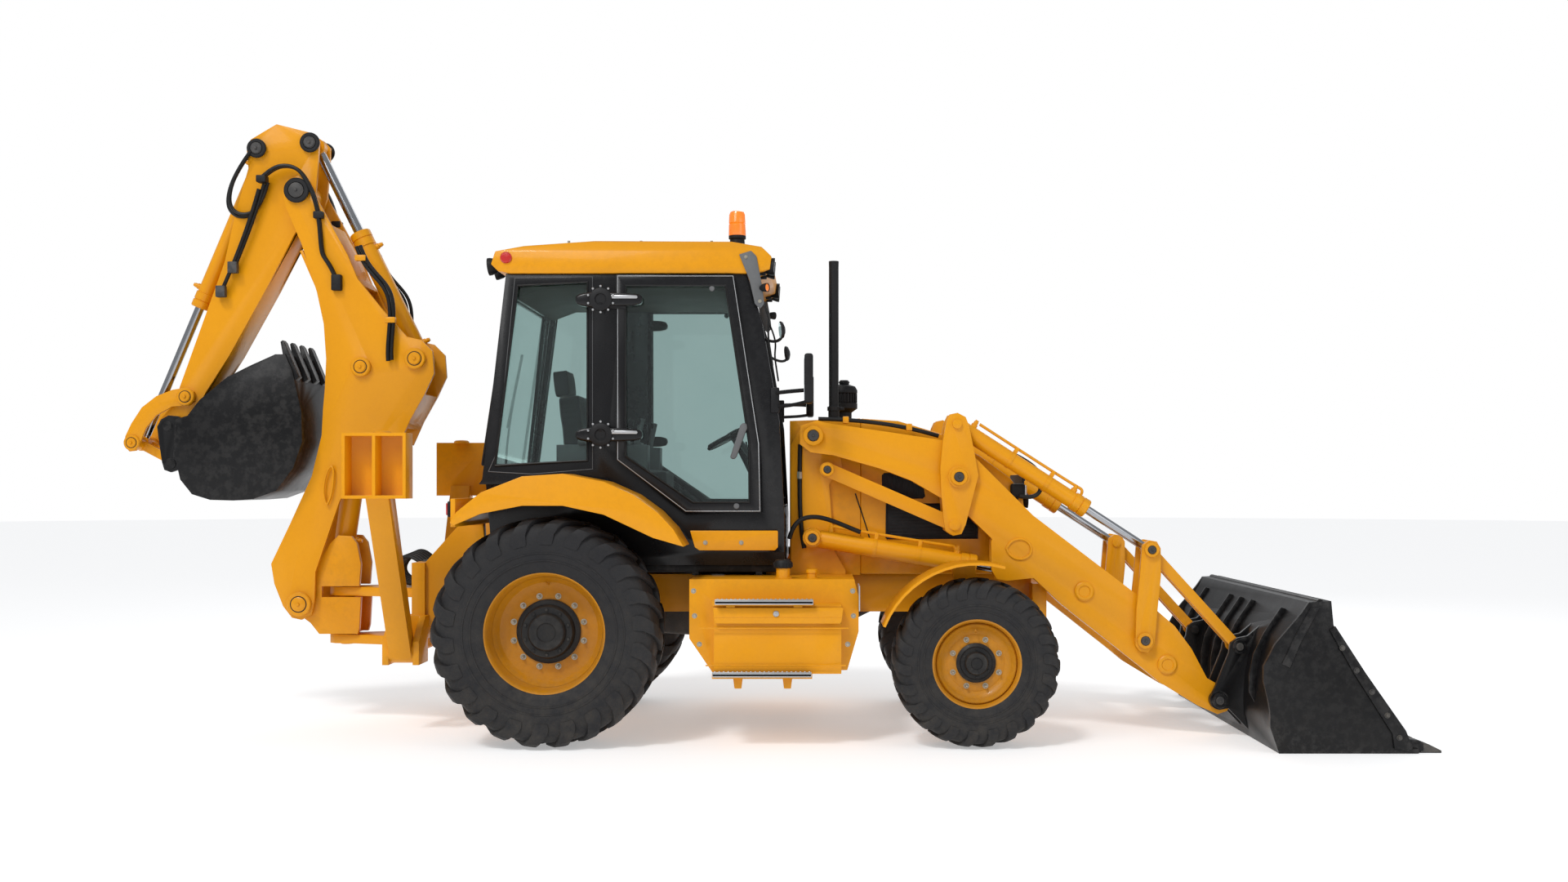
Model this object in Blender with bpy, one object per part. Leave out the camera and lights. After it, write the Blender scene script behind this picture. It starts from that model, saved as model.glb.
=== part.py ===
"""Backhoe loader, metres, +X forward, +Y left, +Z up, standing on Z = 0.

Each function below makes one assembly. A node is a union of plain solids less
some cutters, left as one closed mesh named for the piece it stands for.
Side views are outlines in X and Z, pushed out sideways between two Y values.
"""
import math

import bmesh
import bpy
from mathutils import Matrix, Vector

# ---- driving dimensions ----
REAR_AXLE = (-1.112, 0.657)  # X, Z of the rear axle; Z is also the rear tyre's radius
FRONT_AXLE = (1.333, 0.483)  # X, Z of the front axle; Z is also the front tyre's radius
REAR_TRACK = 0.89  # middle of a rear tyre from the centre line
FRONT_TRACK = 0.925
REAR_TYRE_WIDTH = 0.46
FRONT_TYRE_WIDTH = 0.32
REAR_RIM_RADIUS = 0.3445
FRONT_RIM_RADIUS = 0.2515
KINGPIN_Y = 0.70
CAB_HALF_WIDTH = 0.70
CAB_WALL = 0.045  # side frame of the cab, and the gap from its face to a rear fender
TYRE_CLEARANCE = 0.045  # between the cab floor and the inner face of a rear tyre
DOOR_OPENING = 15  # degrees, as far as the door goes before it meets the rear fender
HOOD_HALF_WIDTH = 0.42
ARM_INNER = 0.47  # a loader arm runs between these two distances from the centre line
ARM_OUTER = 0.59
BUCKET_HALF_WIDTH = 1.19  # front bucket
PLATE_WALL = 0.026
PIN_GAP = 0.0017  # a hole is this much larger in radius than its pin
SEAT_GAP = 0.0003  # between pieces that sit on each other
DIG_BUCKET_HALF_WIDTH = 0.30
PAD_REAR = -2.235
PAD_FRONT = -1.875

# ---- loader pins: X, Z at rest ----
P_TOWER = (0.405, 1.790)
L_TOWER = (0.489, 1.588)
M_TOWER = (0.400, 1.181)
K_KNEE = (1.269, 1.544)
G_KNEE = (1.259, 1.858)
J_KNEE = (1.244, 1.260)
N_GUSSET = (1.534, 0.990)
A_LEVER = (2.373, 0.573)
B_LEVER = (2.412, 1.112)
C_BUCKET = (2.932, 0.538)
E_BUCKET = (2.815, 0.219)
TUBE_REAR = (2.020, 0.862)
TUBE_FRONT = (2.515, 0.426)

# ---- backhoe pins: X, Z at rest ----
SWING_X = -2.552
BOOM_FOOT = (-2.795, 0.754)
F_POST = (-2.580, 1.050)
T_BOOM = (-2.411, 2.231)
Q_DIPPER = (-2.810, 3.329)
D_BOOM = (-2.074, 2.282)
H_DIPPER = (-2.742, 3.636)
U_DIPPER = (-3.075, 3.600)
V_LEVER = (-3.516, 2.047)
W_LEVER = (-3.850, 1.760)
R_BUCKET = (-3.625, 1.863)
S_BUCKET = (-3.605, 1.630)


# ---- solids ----
def mesh_of(bm):
    bmesh.ops.remove_doubles(bm, verts=bm.verts, dist=1e-6)
    bmesh.ops.recalc_face_normals(bm, faces=bm.faces)
    mesh = bpy.data.meshes.new("solid")
    bm.to_mesh(mesh)
    bm.free()
    obj = bpy.data.objects.new("solid", mesh)
    bpy.context.scene.collection.objects.link(obj)
    return obj


def prism(outline, near, far):
    """An outline in X and Z, solid between two Y values."""
    bm = bmesh.new()
    rings = [[bm.verts.new((x, y, z)) for x, z in outline] for y in (near, far)]
    bm.faces.new(rings[0])
    bm.faces.new(reversed(rings[1]))
    for i in range(len(outline)):
        j = (i + 1) % len(outline)
        bm.faces.new((rings[0][i], rings[1][i], rings[1][j], rings[0][j]))
    return mesh_of(bm)


def plan(outline, low, high):
    """An outline in X and Y, solid between two heights."""
    bm = bmesh.new()
    rings = [[bm.verts.new((x, y, z)) for x, y in outline] for z in (low, high)]
    bm.faces.new(rings[0])
    bm.faces.new(reversed(rings[1]))
    for i in range(len(outline)):
        j = (i + 1) % len(outline)
        bm.faces.new((rings[0][i], rings[1][i], rings[1][j], rings[0][j]))
    return mesh_of(bm)


def front(outline, rear, ahead):
    """An outline in Y and Z, solid between two X values."""
    bm = bmesh.new()
    rings = [[bm.verts.new((x, y, z)) for y, z in outline] for x in (rear, ahead)]
    bm.faces.new(rings[0])
    bm.faces.new(reversed(rings[1]))
    for i in range(len(outline)):
        j = (i + 1) % len(outline)
        bm.faces.new((rings[0][i], rings[1][i], rings[1][j], rings[0][j]))
    return mesh_of(bm)


def box(x0, x1, y0, y1, z0, z1):
    return prism([(x0, z0), (x1, z0), (x1, z1), (x0, z1)], y0, y1)


def bar(start, end, radius, sides=12):
    """A round bar between two points."""
    start, end = Vector(start), Vector(end)
    bm = bmesh.new()
    turn = (end - start).to_track_quat("Z", "Y").to_matrix().to_4x4()
    place = Matrix.Translation((start + end) / 2) @ turn
    bmesh.ops.create_cone(
        bm, cap_ends=True, segments=sides, radius1=radius, radius2=radius,
        depth=(end - start).length, matrix=place,
    )
    return mesh_of(bm)


def pin(at, y0, y1, radius, sides=12):
    return bar((at[0], y0, at[1]), (at[0], y1, at[1]), radius, sides)


def turned(profile, x, z, sides=28):
    """A closed profile of (y, radius) turned about the line through X, Z along Y."""
    bm = bmesh.new()
    rings = []
    for y, radius in profile:
        if radius == 0:
            rings.append([bm.verts.new((x, y, z))] * sides)
            continue
        rings.append([
            bm.verts.new((x + radius * math.cos(2 * math.pi * k / sides), y,
                          z + radius * math.sin(2 * math.pi * k / sides)))
            for k in range(sides)
        ])
    for i, ring in enumerate(rings):
        nxt = rings[(i + 1) % len(rings)]
        for k in range(sides):
            corners = []
            for v in (ring[k], nxt[k], nxt[(k + 1) % sides], ring[(k + 1) % sides]):
                if v not in corners:
                    corners.append(v)
            if len(corners) > 2:
                bm.faces.new(corners)
    return mesh_of(bm)


def along(start, end, x0, x1, r):
    """A round bar on the X-Z line start-end at Y = y, from x0 to x1 of its length."""
    (sx, sy, sz), (ex, ey, ez) = start, end
    s, e = Vector((sx, sy, sz)), Vector((ex, ey, ez))
    d = (e - s).normalized()
    return bar(s + d * x0, s + d * x1, r)


def strip(path, width, y0, y1):
    """A bar of one width along a path of X, Z points."""
    left, right = [], []
    for i, (x, z) in enumerate(path):
        a = Vector(path[max(i - 1, 0)])
        b = Vector(path[min(i + 1, len(path) - 1)])
        d = (b - a).normalized()
        left.append((x - d.y * width / 2, z + d.x * width / 2))
        right.append((x + d.y * width / 2, z - d.x * width / 2))
    return prism(left + right[::-1], y0, y1)


def disc(at, radius, y0, y1, sides=12):
    return pin(at, y0, y1, radius, sides)


def combine(obj, other, operation):
    modifier = obj.modifiers.new(operation.title(), "BOOLEAN")
    modifier.operation = operation
    modifier.solver = "MANIFOLD"
    modifier.object = other
    bpy.context.view_layer.update()
    graph = bpy.context.evaluated_depsgraph_get()
    result = bpy.data.meshes.new_from_object(obj.evaluated_get(graph))
    obj.modifiers.remove(modifier)
    old = obj.data
    obj.data = result
    bpy.data.meshes.remove(old)
    bpy.data.objects.remove(other)


def node(name, solids, cuts=()):
    """Joins the solids, takes the cuts away, and leaves one object of this name."""
    whole = solids[0]
    for other in solids[1:]:
        combine(whole, other, "UNION")
    for other in cuts:
        combine(whole, other, "DIFFERENCE")
    whole.name = name
    whole.data.name = name
    for face in whole.data.polygons:
        face.use_smooth = False
    return whole


def between(side, a, b):
    """Y values of a piece between two distances from the centre line on one side."""
    return (a, b) if side > 0 else (-b, -a)


def mixed(a, b, t):
    return (a[0] + (b[0] - a[0]) * t, a[1] + (b[1] - a[1]) * t)


SIDES = (("left", 1), ("right", -1))


# ---- running gear ----
def wheels():
    for place, (x, z), track, width, rim, tyre in (
        ("rear", REAR_AXLE, REAR_TRACK, REAR_TYRE_WIDTH, REAR_RIM_RADIUS, REAR_AXLE[1]),
        ("front", FRONT_AXLE, FRONT_TRACK, FRONT_TYRE_WIDTH, FRONT_RIM_RADIUS, FRONT_AXLE[1]),
    ):
        half = width / 2
        for name, s in SIDES:
            depth = tyre - rim
            section = [
                (-0.86, 0.0), (-0.97, 0.22), (-1.0, 0.50), (-0.95, 0.78), (-0.78, 0.95),
                (-0.35, 1.0), (0.35, 1.0), (0.78, 0.95), (0.95, 0.78), (1.0, 0.50),
                (0.97, 0.22), (0.86, 0.0),
            ]
            ring = [(s * track + half * a, rim + SEAT_GAP + (depth - SEAT_GAP) * b) for a, b in section]
            node(f"tyre_{place}_{name}", [turned(ring, x, z)])
            wall = 0.022
            inner = half * 0.80
            if place == "rear":
                disc_at, hub, hub_out, boss = 0.03, 0.186, 0.135, 0.10
            else:
                disc_at, hub, hub_out, boss = 0.055, 0.115, 0.125, 0.06
            shape = [
                (-inner, rim), (inner, rim), (inner, rim - wall), (disc_at + 0.035, rim - 0.045),
                (disc_at, hub + 0.04), (disc_at, hub), (hub_out - 0.015, hub), (hub_out, hub * 0.86),
                (hub_out, 0.0), (disc_at - 0.05, 0.0), (disc_at - 0.05, boss), (disc_at - 0.02, boss),
                (disc_at - 0.02, hub + 0.03), (disc_at + 0.012, rim - 0.045), (-inner, rim - wall),
            ]
            node(f"rim_{place}_{name}", [turned([(s * (track + y), r) for y, r in shape], x, z)])


def front_axle():
    x, z = FRONT_AXLE
    solids = [box(x - 0.08, x + 0.08, -0.60, 0.60, z - 0.075, z + 0.075),
              box(x - 0.13, x + 0.13, -0.16, 0.16, z - 0.10, z + 0.10),
              box(x - 0.16, x + 0.16, -0.07, 0.07, z + 0.05, 0.7197)]
    cuts = []
    for _, s in SIDES:
        for low, high in ((0.345, 0.372), (0.594, 0.621)):
            solids.append(box(x - 0.043, x + 0.043, *between(s, 0.55, KINGPIN_Y), low, high))
            solids.append(bar((x, s * KINGPIN_Y, low), (x, s * KINGPIN_Y, high), 0.0435, 16))
        solids.append(box(x - 0.07, x + 0.07, *between(s, 0.55, 0.602), 0.345, 0.621))
        cuts.append(bar((x, s * KINGPIN_Y, 0.3), (x, s * KINGPIN_Y, 0.7), 0.025 + PIN_GAP))
    node("front_axle", solids, cuts)
    for name, s in SIDES:
        arc, inner = [], []
        for k in range(13):
            turn = math.radians(158 - k * 7)
            arc.append((x + 0.575 * math.cos(turn), z + 0.575 * math.sin(turn)))
            inner.append((x + 0.560 * math.cos(turn), z + 0.560 * math.sin(turn)))
        y = lambda a, b: between(s, a, b)
        solids = [
            box(x - 0.055, x + 0.055, *y(0.665, 0.735), 0.3725, 0.5935),
            bar((x, s * KINGPIN_Y, 0.335), (x, s * KINGPIN_Y, 0.631), 0.025),
            pin((x, z), s * 0.70, s * 0.9295, 0.05),
            prism(arc + inner[::-1], *y(0.745, 1.085)),
            prism([(x - 0.045, 0.42), (x + 0.045, 0.42), (x + 0.045, 0.58), (x + 0.02, 1.045),
                   (x - 0.12, 1.035), (x - 0.045, 0.58)], *y(0.7355 - 0.012, 0.757)),
        ]
        # the two ends of the axle pass below and above the knuckle's block
        cuts = [box(x - 0.1, x + 0.1, *y(0.60, 0.7502), 0.5935, 0.626),
                box(x - 0.1, x + 0.1, *y(0.60, 0.7502), 0.340, 0.3725)]
        solids_after = [bar((x, s * KINGPIN_Y, 0.335), (x, s * KINGPIN_Y, 0.631), 0.025)]
        knuckle = node(f"knuckle_{name}", solids, cuts)
        for extra in solids_after:
            combine(knuckle, extra, "UNION")


def main_frame():
    solids, cuts = [], []
    # axle housing at the back, bolted under the rails
    rx, rz = REAR_AXLE
    solids += [pin((rx, rz), -0.8695, 0.8695, 0.085), box(rx - 0.24, rx + 0.26, -0.27, 0.27, rz - 0.2, 0.98)]
    for _, s in SIDES:
        y = lambda a, b: between(s, a, b)
        solids.append(pin((rx, rz), s * 0.30, s * 0.62, 0.13))
        # rail
        solids.append(prism([(-2.02, 0.60), (-1.70, 0.72), (1.74, 0.72), (1.74, 0.95), (-1.60, 0.95),
                             (-1.62, 1.26), (-1.76, 1.26), (-2.02, 0.97)], *y(0.26, 0.33)))
        # tower plate, its foot on the rail, and the side box for the pins
        solids.append(prism([(0.12, 0.74), (0.60, 0.74), (0.60, 0.98), (0.53, 1.10), (0.50, 1.50), (0.58, 1.60),
                             (0.56, 1.72), (0.47, 1.86), (0.34, 1.86), (0.27, 1.74), (0.27, 1.012), (0.12, 0.99)],
                            *y(0.425, 0.455)))
        solids.append(box(0.14, 0.58, *y(0.30, 0.44), 0.75, 0.90))
        solids.append(pin(P_TOWER, s * 0.44, s * 0.612, 0.040))
        solids.append(pin(L_TOWER, s * 0.44, s * 0.585, 0.026))
        solids.append(pin(M_TOWER, s * 0.44, s * 0.600, 0.032))
        for at, r, out in ((P_TOWER, 0.07, 0.4695), (L_TOWER, 0.048, 0.466), (M_TOWER, 0.06, 0.4695)):
            solids.append(pin(at, s * 0.44, s * out, r))
        # stabilizer lugs on the rear frame
        solids.append(box(-2.17, -1.95, *y(0.26, 0.40), 0.56, 0.70))
        for near, far in ((-2.17, -2.132), (-1.988, -1.95)):
            solids.append(front([(s * 0.36, 0.42), (s * 0.575, 0.42), (s * 0.575, 0.56), (s * 0.42, 0.70), (s * 0.36, 0.70)],
                                near, far))
        solids.append(bar((-2.17, s * 0.52, 0.49), (-1.95, s * 0.52, 0.49), 0.030))
        # nose bracket of the headlamp and counterweight side
        solids.append(box(1.55, 1.74, *y(0.20, 0.33), 0.62, 0.74))
    solids += [box(x0, x1, -0.28, 0.28, z0, z1) for x0, x1, z0, z1 in (
        (-0.20, -0.04, 0.74, 0.93), (0.62, 0.90, 0.74, 0.93), (1.40, 1.735, 0.74, 0.93))]
    solids.append(box(1.2, 1.47, -0.28, 0.28, 0.7205, 0.80))
    # bumper
    solids.append(box(1.73, 1.815, -0.46, 0.46, 0.68, 0.90))
    # rear frame: cross plate with the two swing lugs
    solids.append(box(-2.05, -1.97, -0.36, 0.36, 0.60, 1.02))
    solids.append(box(-2.05, -1.68, -0.30, 0.30, 0.62, 0.66))
    for low, high in ((0.50, 0.555), (0.80, 0.855)):
        solids.append(plan([(-2.00, -0.26), (-2.00, 0.26), (-2.46, 0.105), (-2.60, 0.085), (-2.645, 0.05), (-2.66, 0.0),
                            (-2.645, -0.05), (-2.60, -0.085), (-2.46, -0.105)], low, high))
    solids.append(box(-2.06, -1.97, -0.26, 0.26, 0.50, 0.87))
    cuts.append(bar((SWING_X, 0, 0.45), (SWING_X, 0, 0.95), 0.040 + PIN_GAP))
    node("main_frame", solids, cuts)


def side_boxes():
    solids = []
    for _, s in SIDES:
        y = lambda a, b: between(s, a, b)
        solids.append(prism([(-0.302, 0.958), (0.64, 0.958), (0.665, 0.86), (0.665, 0.66), (0.60, 0.44),
                             (-0.165, 0.42), (-0.302, 0.62)], *y(0.46, 0.98)))
        solids.append(box(-0.155, 0.565, *y(0.97, 1.075), 0.43, 0.82))
        solids.append(box(-0.165, 0.40, *y(0.97, 1.10), 0.815, 0.845))
        solids.append(box(-0.165, 0.40, *y(0.97, 1.10), 0.405, 0.435))
        solids.append(box(-0.30, 0.16, *y(0.32, 0.50), 0.60, 0.7197))
    solids.append(box(-0.26, -0.16, -0.40, 0.40, 0.60, 0.7197))
    solids.append(box(0.04, 0.14, -0.40, 0.40, 0.60, 0.7197))
    # clear of the loader towers' feet and the swept tyre
    node("side_boxes", solids)


def engine_block():
    node("engine_block", [box(0.80, 1.50, -0.24, 0.24, 0.9303, 1.55), box(0.95, 1.35, -0.17, 0.17, 1.50, 1.66)])


def cowl_and_hood():
    w = HOOD_HALF_WIDTH
    cowl = [(0.262, 1.0), (0.262, 1.885), (0.69, 1.900), (0.69, 1.0)]
    inside = [(0.29, 0.9), (0.29, 1.865), (0.8, 1.880), (0.8, 0.9)]
    solids = [prism(cowl, -w, w), box(0.27, 0.69, -0.34, 0.34, 0.9503, 1.01)]
    cuts = [prism(inside, -w + 0.03, w - 0.03)]
    cowl_node = node("rear_cowl", solids, cuts)
    stack = [bar((0.531, -0.25, 1.87), (0.531, -0.25, 2.875), 0.030), bar((0.531, -0.25, 1.87), (0.531, -0.25, 2.10), 0.045),
             bar((0.60, 0.02, 1.87), (0.60, 0.02, 2.02), 0.045), bar((0.60, 0.02, 1.96), (0.60, 0.02, 2.165), 0.085),
             # joins the cowl to its floor
             box(0.262, 0.69, 0.30, w, 0.9503, 1.02), box(0.262, 0.69, -w, -0.30, 0.9503, 1.02)]
    for extra in stack:
        combine(cowl_node, extra, "UNION")
    top = [(0.6905, 1.900), (0.92, 1.885), (1.17, 1.81), (1.418, 1.672), (1.60, 1.54), (1.675, 1.44), (1.70, 1.25), (1.70, 0.955)]
    skin = [(0.6, 1.880), (0.915, 1.865), (1.162, 1.79), (1.407, 1.655), (1.588, 1.525), (1.657, 1.432), (1.675, 1.25), (1.675, 0.8), (0.6, 0.8)]
    hood = [prism(top + [(0.6905, 0.955)], -w, w)]
    node("hood", hood, [prism(skin, -w + 0.022, w - 0.022)])


# ---- cab ----
CAB_SIDE = [(-1.565, 1.50), (-1.545, 1.53), (-1.405, 2.74), (0.015, 2.74), (0.105, 2.45), (0.205, 1.87),
            (0.235, 1.30), (0.235, 1.10), (-0.28, 1.10), (-0.36, 1.22), (-0.80, 1.50)]
CAB_INSIDE = [(-1.515, 1.44), (-1.36, 2.69), (-0.02, 2.69), (0.06, 2.43), (0.158, 1.86), (0.188, 1.30),
              (0.188, 1.14), (-0.26, 1.14), (-0.33, 1.262), (-0.79, 1.552), (-1.0, 1.552), (-1.0, 1.44)]
DOOR = [(-0.750, 1.640), (-0.345, 1.335), (0.100, 1.335), (0.092, 1.74), (-0.060, 2.730), (-0.750, 2.730)]
DOOR_GLASS = [(-0.695, 1.665), (-0.300, 1.395), (0.030, 1.395), (0.030, 1.74), (-0.110, 2.665), (-0.695, 2.665)]
REAR_SIDE_GLASS = [(-1.470, 1.610), (-1.335, 2.670), (-0.925, 2.690), (-0.925, 1.640)]
FENDER_TOP = [(-1.632, 1.285), (-1.595, 1.345), (-1.458, 1.455), (-1.228, 1.545), (-0.999, 1.560), (-0.769, 1.515),
              (-0.600, 1.440), (-0.470, 1.345), (-0.380, 1.250), (-0.320, 1.150)]
FENDER_LOW = [(-0.493, 1.200), (-0.769, 1.330), (-0.999, 1.380), (-1.228, 1.380), (-1.458, 1.335), (-1.610, 1.270)]


def inset(outline, by):
    """The outline moved inwards by this much, for outlines that turn one way."""
    area = sum(a[0] * b[1] - b[0] * a[1] for a, b in zip(outline, outline[1:] + outline[:1]))
    way = 1 if area > 0 else -1
    moved = []
    for i, p in enumerate(outline):
        a, b = outline[i - 1], outline[(i + 1) % len(outline)]
        d1 = Vector((p[0] - a[0], p[1] - a[1])).normalized()
        d2 = Vector((b[0] - p[0], b[1] - p[1])).normalized()
        n1, n2 = Vector((-d1.y, d1.x)) * way, Vector((-d2.y, d2.x)) * way
        n = (n1 + n2) / (1 + n1.dot(n2))
        moved.append((p[0] + n.x * by, p[1] + n.y * by))
    return moved


def cab():
    w = CAB_HALF_WIDTH
    floor = REAR_TRACK - REAR_TYRE_WIDTH / 2 - TYRE_CLEARANCE
    lower = [(-1.50, 1.02), (0.235, 1.02), (0.235, 1.30), (-1.30, 1.54), (-1.545, 1.54)]
    solids = [prism(CAB_SIDE, -w, w), prism(lower, -floor, floor)]
    cuts = [prism(CAB_INSIDE, -w + CAB_WALL, w - CAB_WALL),
            prism([(-1.46, 1.06), (0.188, 1.06), (0.188, 1.40), (-1.0, 1.60), (-1.46, 1.60)], -floor + 0.04, floor - 0.04)]
    for _, s in SIDES:
        y = between(s, w - 0.10, w + 0.10)
        cuts.append(prism(inset(DOOR, 0.03), *y))
        cuts.append(prism(REAR_SIDE_GLASS, *y))
    # windscreen and back window openings
    low, high = w - 0.09, w - 0.10
    cuts.append(front([(-low, 1.36), (low, 1.36), (high, 2.64), (-high, 2.64)], -0.05, 0.40))
    back_low, back_high = w - 0.10, w - 0.12
    cuts.append(front([(-back_low, 1.62), (back_low, 1.62), (back_high, 2.62), (-back_high, 2.62)], -1.70, -1.30))
    frame = node("cab_frame", solids, cuts)
    # feet on the rails
    for _, s in SIDES:
        for x in (-1.35, -0.05):
            combine(frame, box(x - 0.09, x + 0.09, *between(s, 0.28, 0.36), 0.9503, 1.03), "UNION")
        for z in (1.79, 2.57):
            combine(frame, box(-0.87, -0.80, *between(s, w - 0.01, w + 0.0355), z - 0.045, z + 0.045), "UNION")
    # roof: overhangs all round, crowned
    roof = [(-1.49, 2.795), (-1.465, 2.87), (-1.30, 2.905), (-0.885, 2.938), (-0.075, 2.933), (0.10, 2.90), (0.160, 2.84),
            (0.150, 2.765), (0.06, 2.7403), (-1.38, 2.7403), (-1.45, 2.755)]
    roof_node = node("cab_roof", [prism(roof, -w - 0.02, w + 0.02)])
    for _, s in SIDES:
        shave = front([(s * (w - 0.10), 2.99), (s * (w - 0.02), 2.93), (s * (w + 0.03), 2.86), (s * (w + 0.10), 2.86),
                       (s * (w + 0.10), 2.99)], -1.7, 0.4)
        combine(roof_node, shave, "DIFFERENCE")
    combine(roof_node, bar((-0.055, 0.25 - w, 2.90), (-0.055, 0.25 - w, 3.150), 0.048), "UNION")
    # glass
    node("windshield", [front([(0.0005 - low, 1.3605), (low - 0.0005, 1.3605), (high - 0.0005, 2.6395), (0.0005 - high, 2.6395)],
                              -0.06, 0.30)],
         [prism([(-0.2, 1.2), (0.198, 1.2), (0.201, 1.36), (0.167, 1.87), (0.069, 2.445), (-0.2, 3.4), (-0.3, 3.4)], -1, 1),
          prism([(0.5, 1.2), (0.206, 1.2), (0.207, 1.36), (0.174, 1.87), (0.076, 2.447), (-0.18, 3.4), (0.5, 3.4)], -1, 1)])
    node("rear_window", [front([(0.0005 - back_low, 1.6205), (back_low - 0.0005, 1.6205), (back_high - 0.0005, 2.6195),
                               (0.0005 - back_high, 2.6195)], -1.60, -1.30)],
         [prism([(-1.70, 1.2), (-1.5575, 1.2), (-1.519, 1.53), (-1.380, 2.74), (-1.35, 3.0), (-1.70, 3.0)], -1, 1),
          prism([(-1.20, 1.2), (-1.5515, 1.2), (-1.513, 1.53), (-1.374, 2.74), (-1.344, 3.0), (-1.20, 3.0)], -1, 1)])
    for name, s in SIDES:
        node(f"side_window_{name}", [prism(inset(REAR_SIDE_GLASS, 0.0005), *between(s, w - 0.028, w - 0.022))])
        # the door lies on the outside of the cab's side
        y = between(s, w + 0.006, w + 0.036)
        leaf = [prism(DOOR, *y)]
        for z in (1.79, 2.57):
            leaf.append(box(-0.79, -0.60, *between(s, w + 0.030, w + 0.052), z - 0.04, z + 0.04))
            leaf.append(bar((-0.835, s * (w + 0.060), z - 0.05), (-0.835, s * (w + 0.060), z + 0.05), 0.024))
            leaf.append(box(-0.835, -0.74, *between(s, w + 0.040, w + 0.062), z - 0.035, z + 0.035))
        node(f"door_{name}", leaf, [prism(DOOR_GLASS, *between(s, w - 0.1, w + 0.2))])
        node(f"door_glass_{name}", [prism(inset(DOOR_GLASS, 0.0005), *between(s, w + 0.016, w + 0.022))])


def fenders():
    solids, cuts = [], []
    near = CAB_HALF_WIDTH + CAB_WALL
    for _, s in SIDES:
        solids.append(prism(FENDER_TOP + FENDER_LOW, *between(s, near, 1.14)))
        cuts.append(prism([(-1.66, 1.20), (-1.59, 1.315), (-1.450, 1.435), (-1.225, 1.525), (-0.999, 1.540), (-0.775, 1.496),
                           (-0.612, 1.424), (-0.482, 1.330), (-0.395, 1.236), (-0.36, 1.14), (-0.5, 1.0)], *between(s, near - CAB_WALL, 1.125)))
        solids.append(box(-1.632, -1.605, *between(s, 0.40, 1.12), 1.262, 1.30))
    fender = node("rear_fenders", solids[:1] + solids[1:2], cuts[:1])
    fender2 = node("helper", solids[2:3] + solids[3:4], cuts[1:])
    combine(fender, fender2, "UNION")
    combine(fender, box(-1.632, -1.605, -1.12, 1.12, 1.2605, 1.42), "UNION")
    combine(fender, box(-1.70, -1.605, -0.34, 0.34, 1.2605, 1.30), "UNION")
    # closing plate: sits on the rear ends of the rails
    fender.name = "rear_fenders"


def operator_station():
    solids = [box(-1.02, -0.55, -0.20, 0.20, 1.0603, 1.40),
              box(-1.05, -0.50, -0.24, 0.24, 1.38, 1.46),
              box(0.05, 0.18, -0.28, 0.28, 1.0603, 1.55),
              prism([(0.03, 1.45), (0.14, 1.45), (0.06, 1.70), (0.0, 1.66)], -0.10, 0.10),
              box(-0.60, 0.10, -0.24, 0.24, 1.0603, 1.075)]
    wheel = bar((-0.095, 0.0, 1.80), (-0.107, 0.0, 1.824), 0.18, 20)
    solids += [wheel, bar((0.04, 0, 1.60), (-0.10, 0, 1.81), 0.03)]
    for _, s in SIDES:
        solids.append(box(-1.15, -0.60, *between(s, 0.30, 0.45), 1.0603, 1.74))
        solids.append(box(-1.02, -0.80, *between(s, 0.15, 0.35), 1.10, 1.20))
        solids.append(bar((-0.68, s * 0.38, 1.72), (-0.64, s * 0.36, 1.90), 0.018, 12))
    node("operator_station", solids)
    node("seat_cushions", [prism([(-1.05, 1.4603), (-0.50, 1.4603), (-0.47, 1.54), (-0.51, 1.58), (-0.90, 1.57), (-0.98, 1.80),
                                  (-1.04, 2.18), (-1.09, 2.25), (-1.15, 2.20), (-1.12, 1.80), (-1.10, 1.50)], -0.235, 0.235)])


# ---- loader ----
ARM = [(0.330, 1.850), (0.430, 1.882), (0.474, 1.868), (1.189, 1.762), (1.350, 1.680), (1.715, 1.315), (2.410, 0.785),
       (2.560, 0.655), (2.660, 0.520), (2.752, 0.345), (2.900, 0.262), (2.904, 0.200), (2.870, 0.148), (2.815, 0.130),
       (2.700, 0.180), (2.470, 0.320), (2.373, 0.400), (1.886, 0.784), (1.472, 1.174), (1.301, 1.340), (1.160, 1.422),
       (0.990, 1.522), (0.800, 1.595), (0.527, 1.673), (0.390, 1.690), (0.325, 1.740)]
GUSSET = [(1.500, 1.240), (1.466, 1.160), (1.468, 0.990), (1.500, 0.935), (1.560, 0.925), (1.700, 0.940), (1.850, 0.935),
          (1.895, 0.975), (1.790, 1.010), (1.700, 1.120)]


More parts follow.
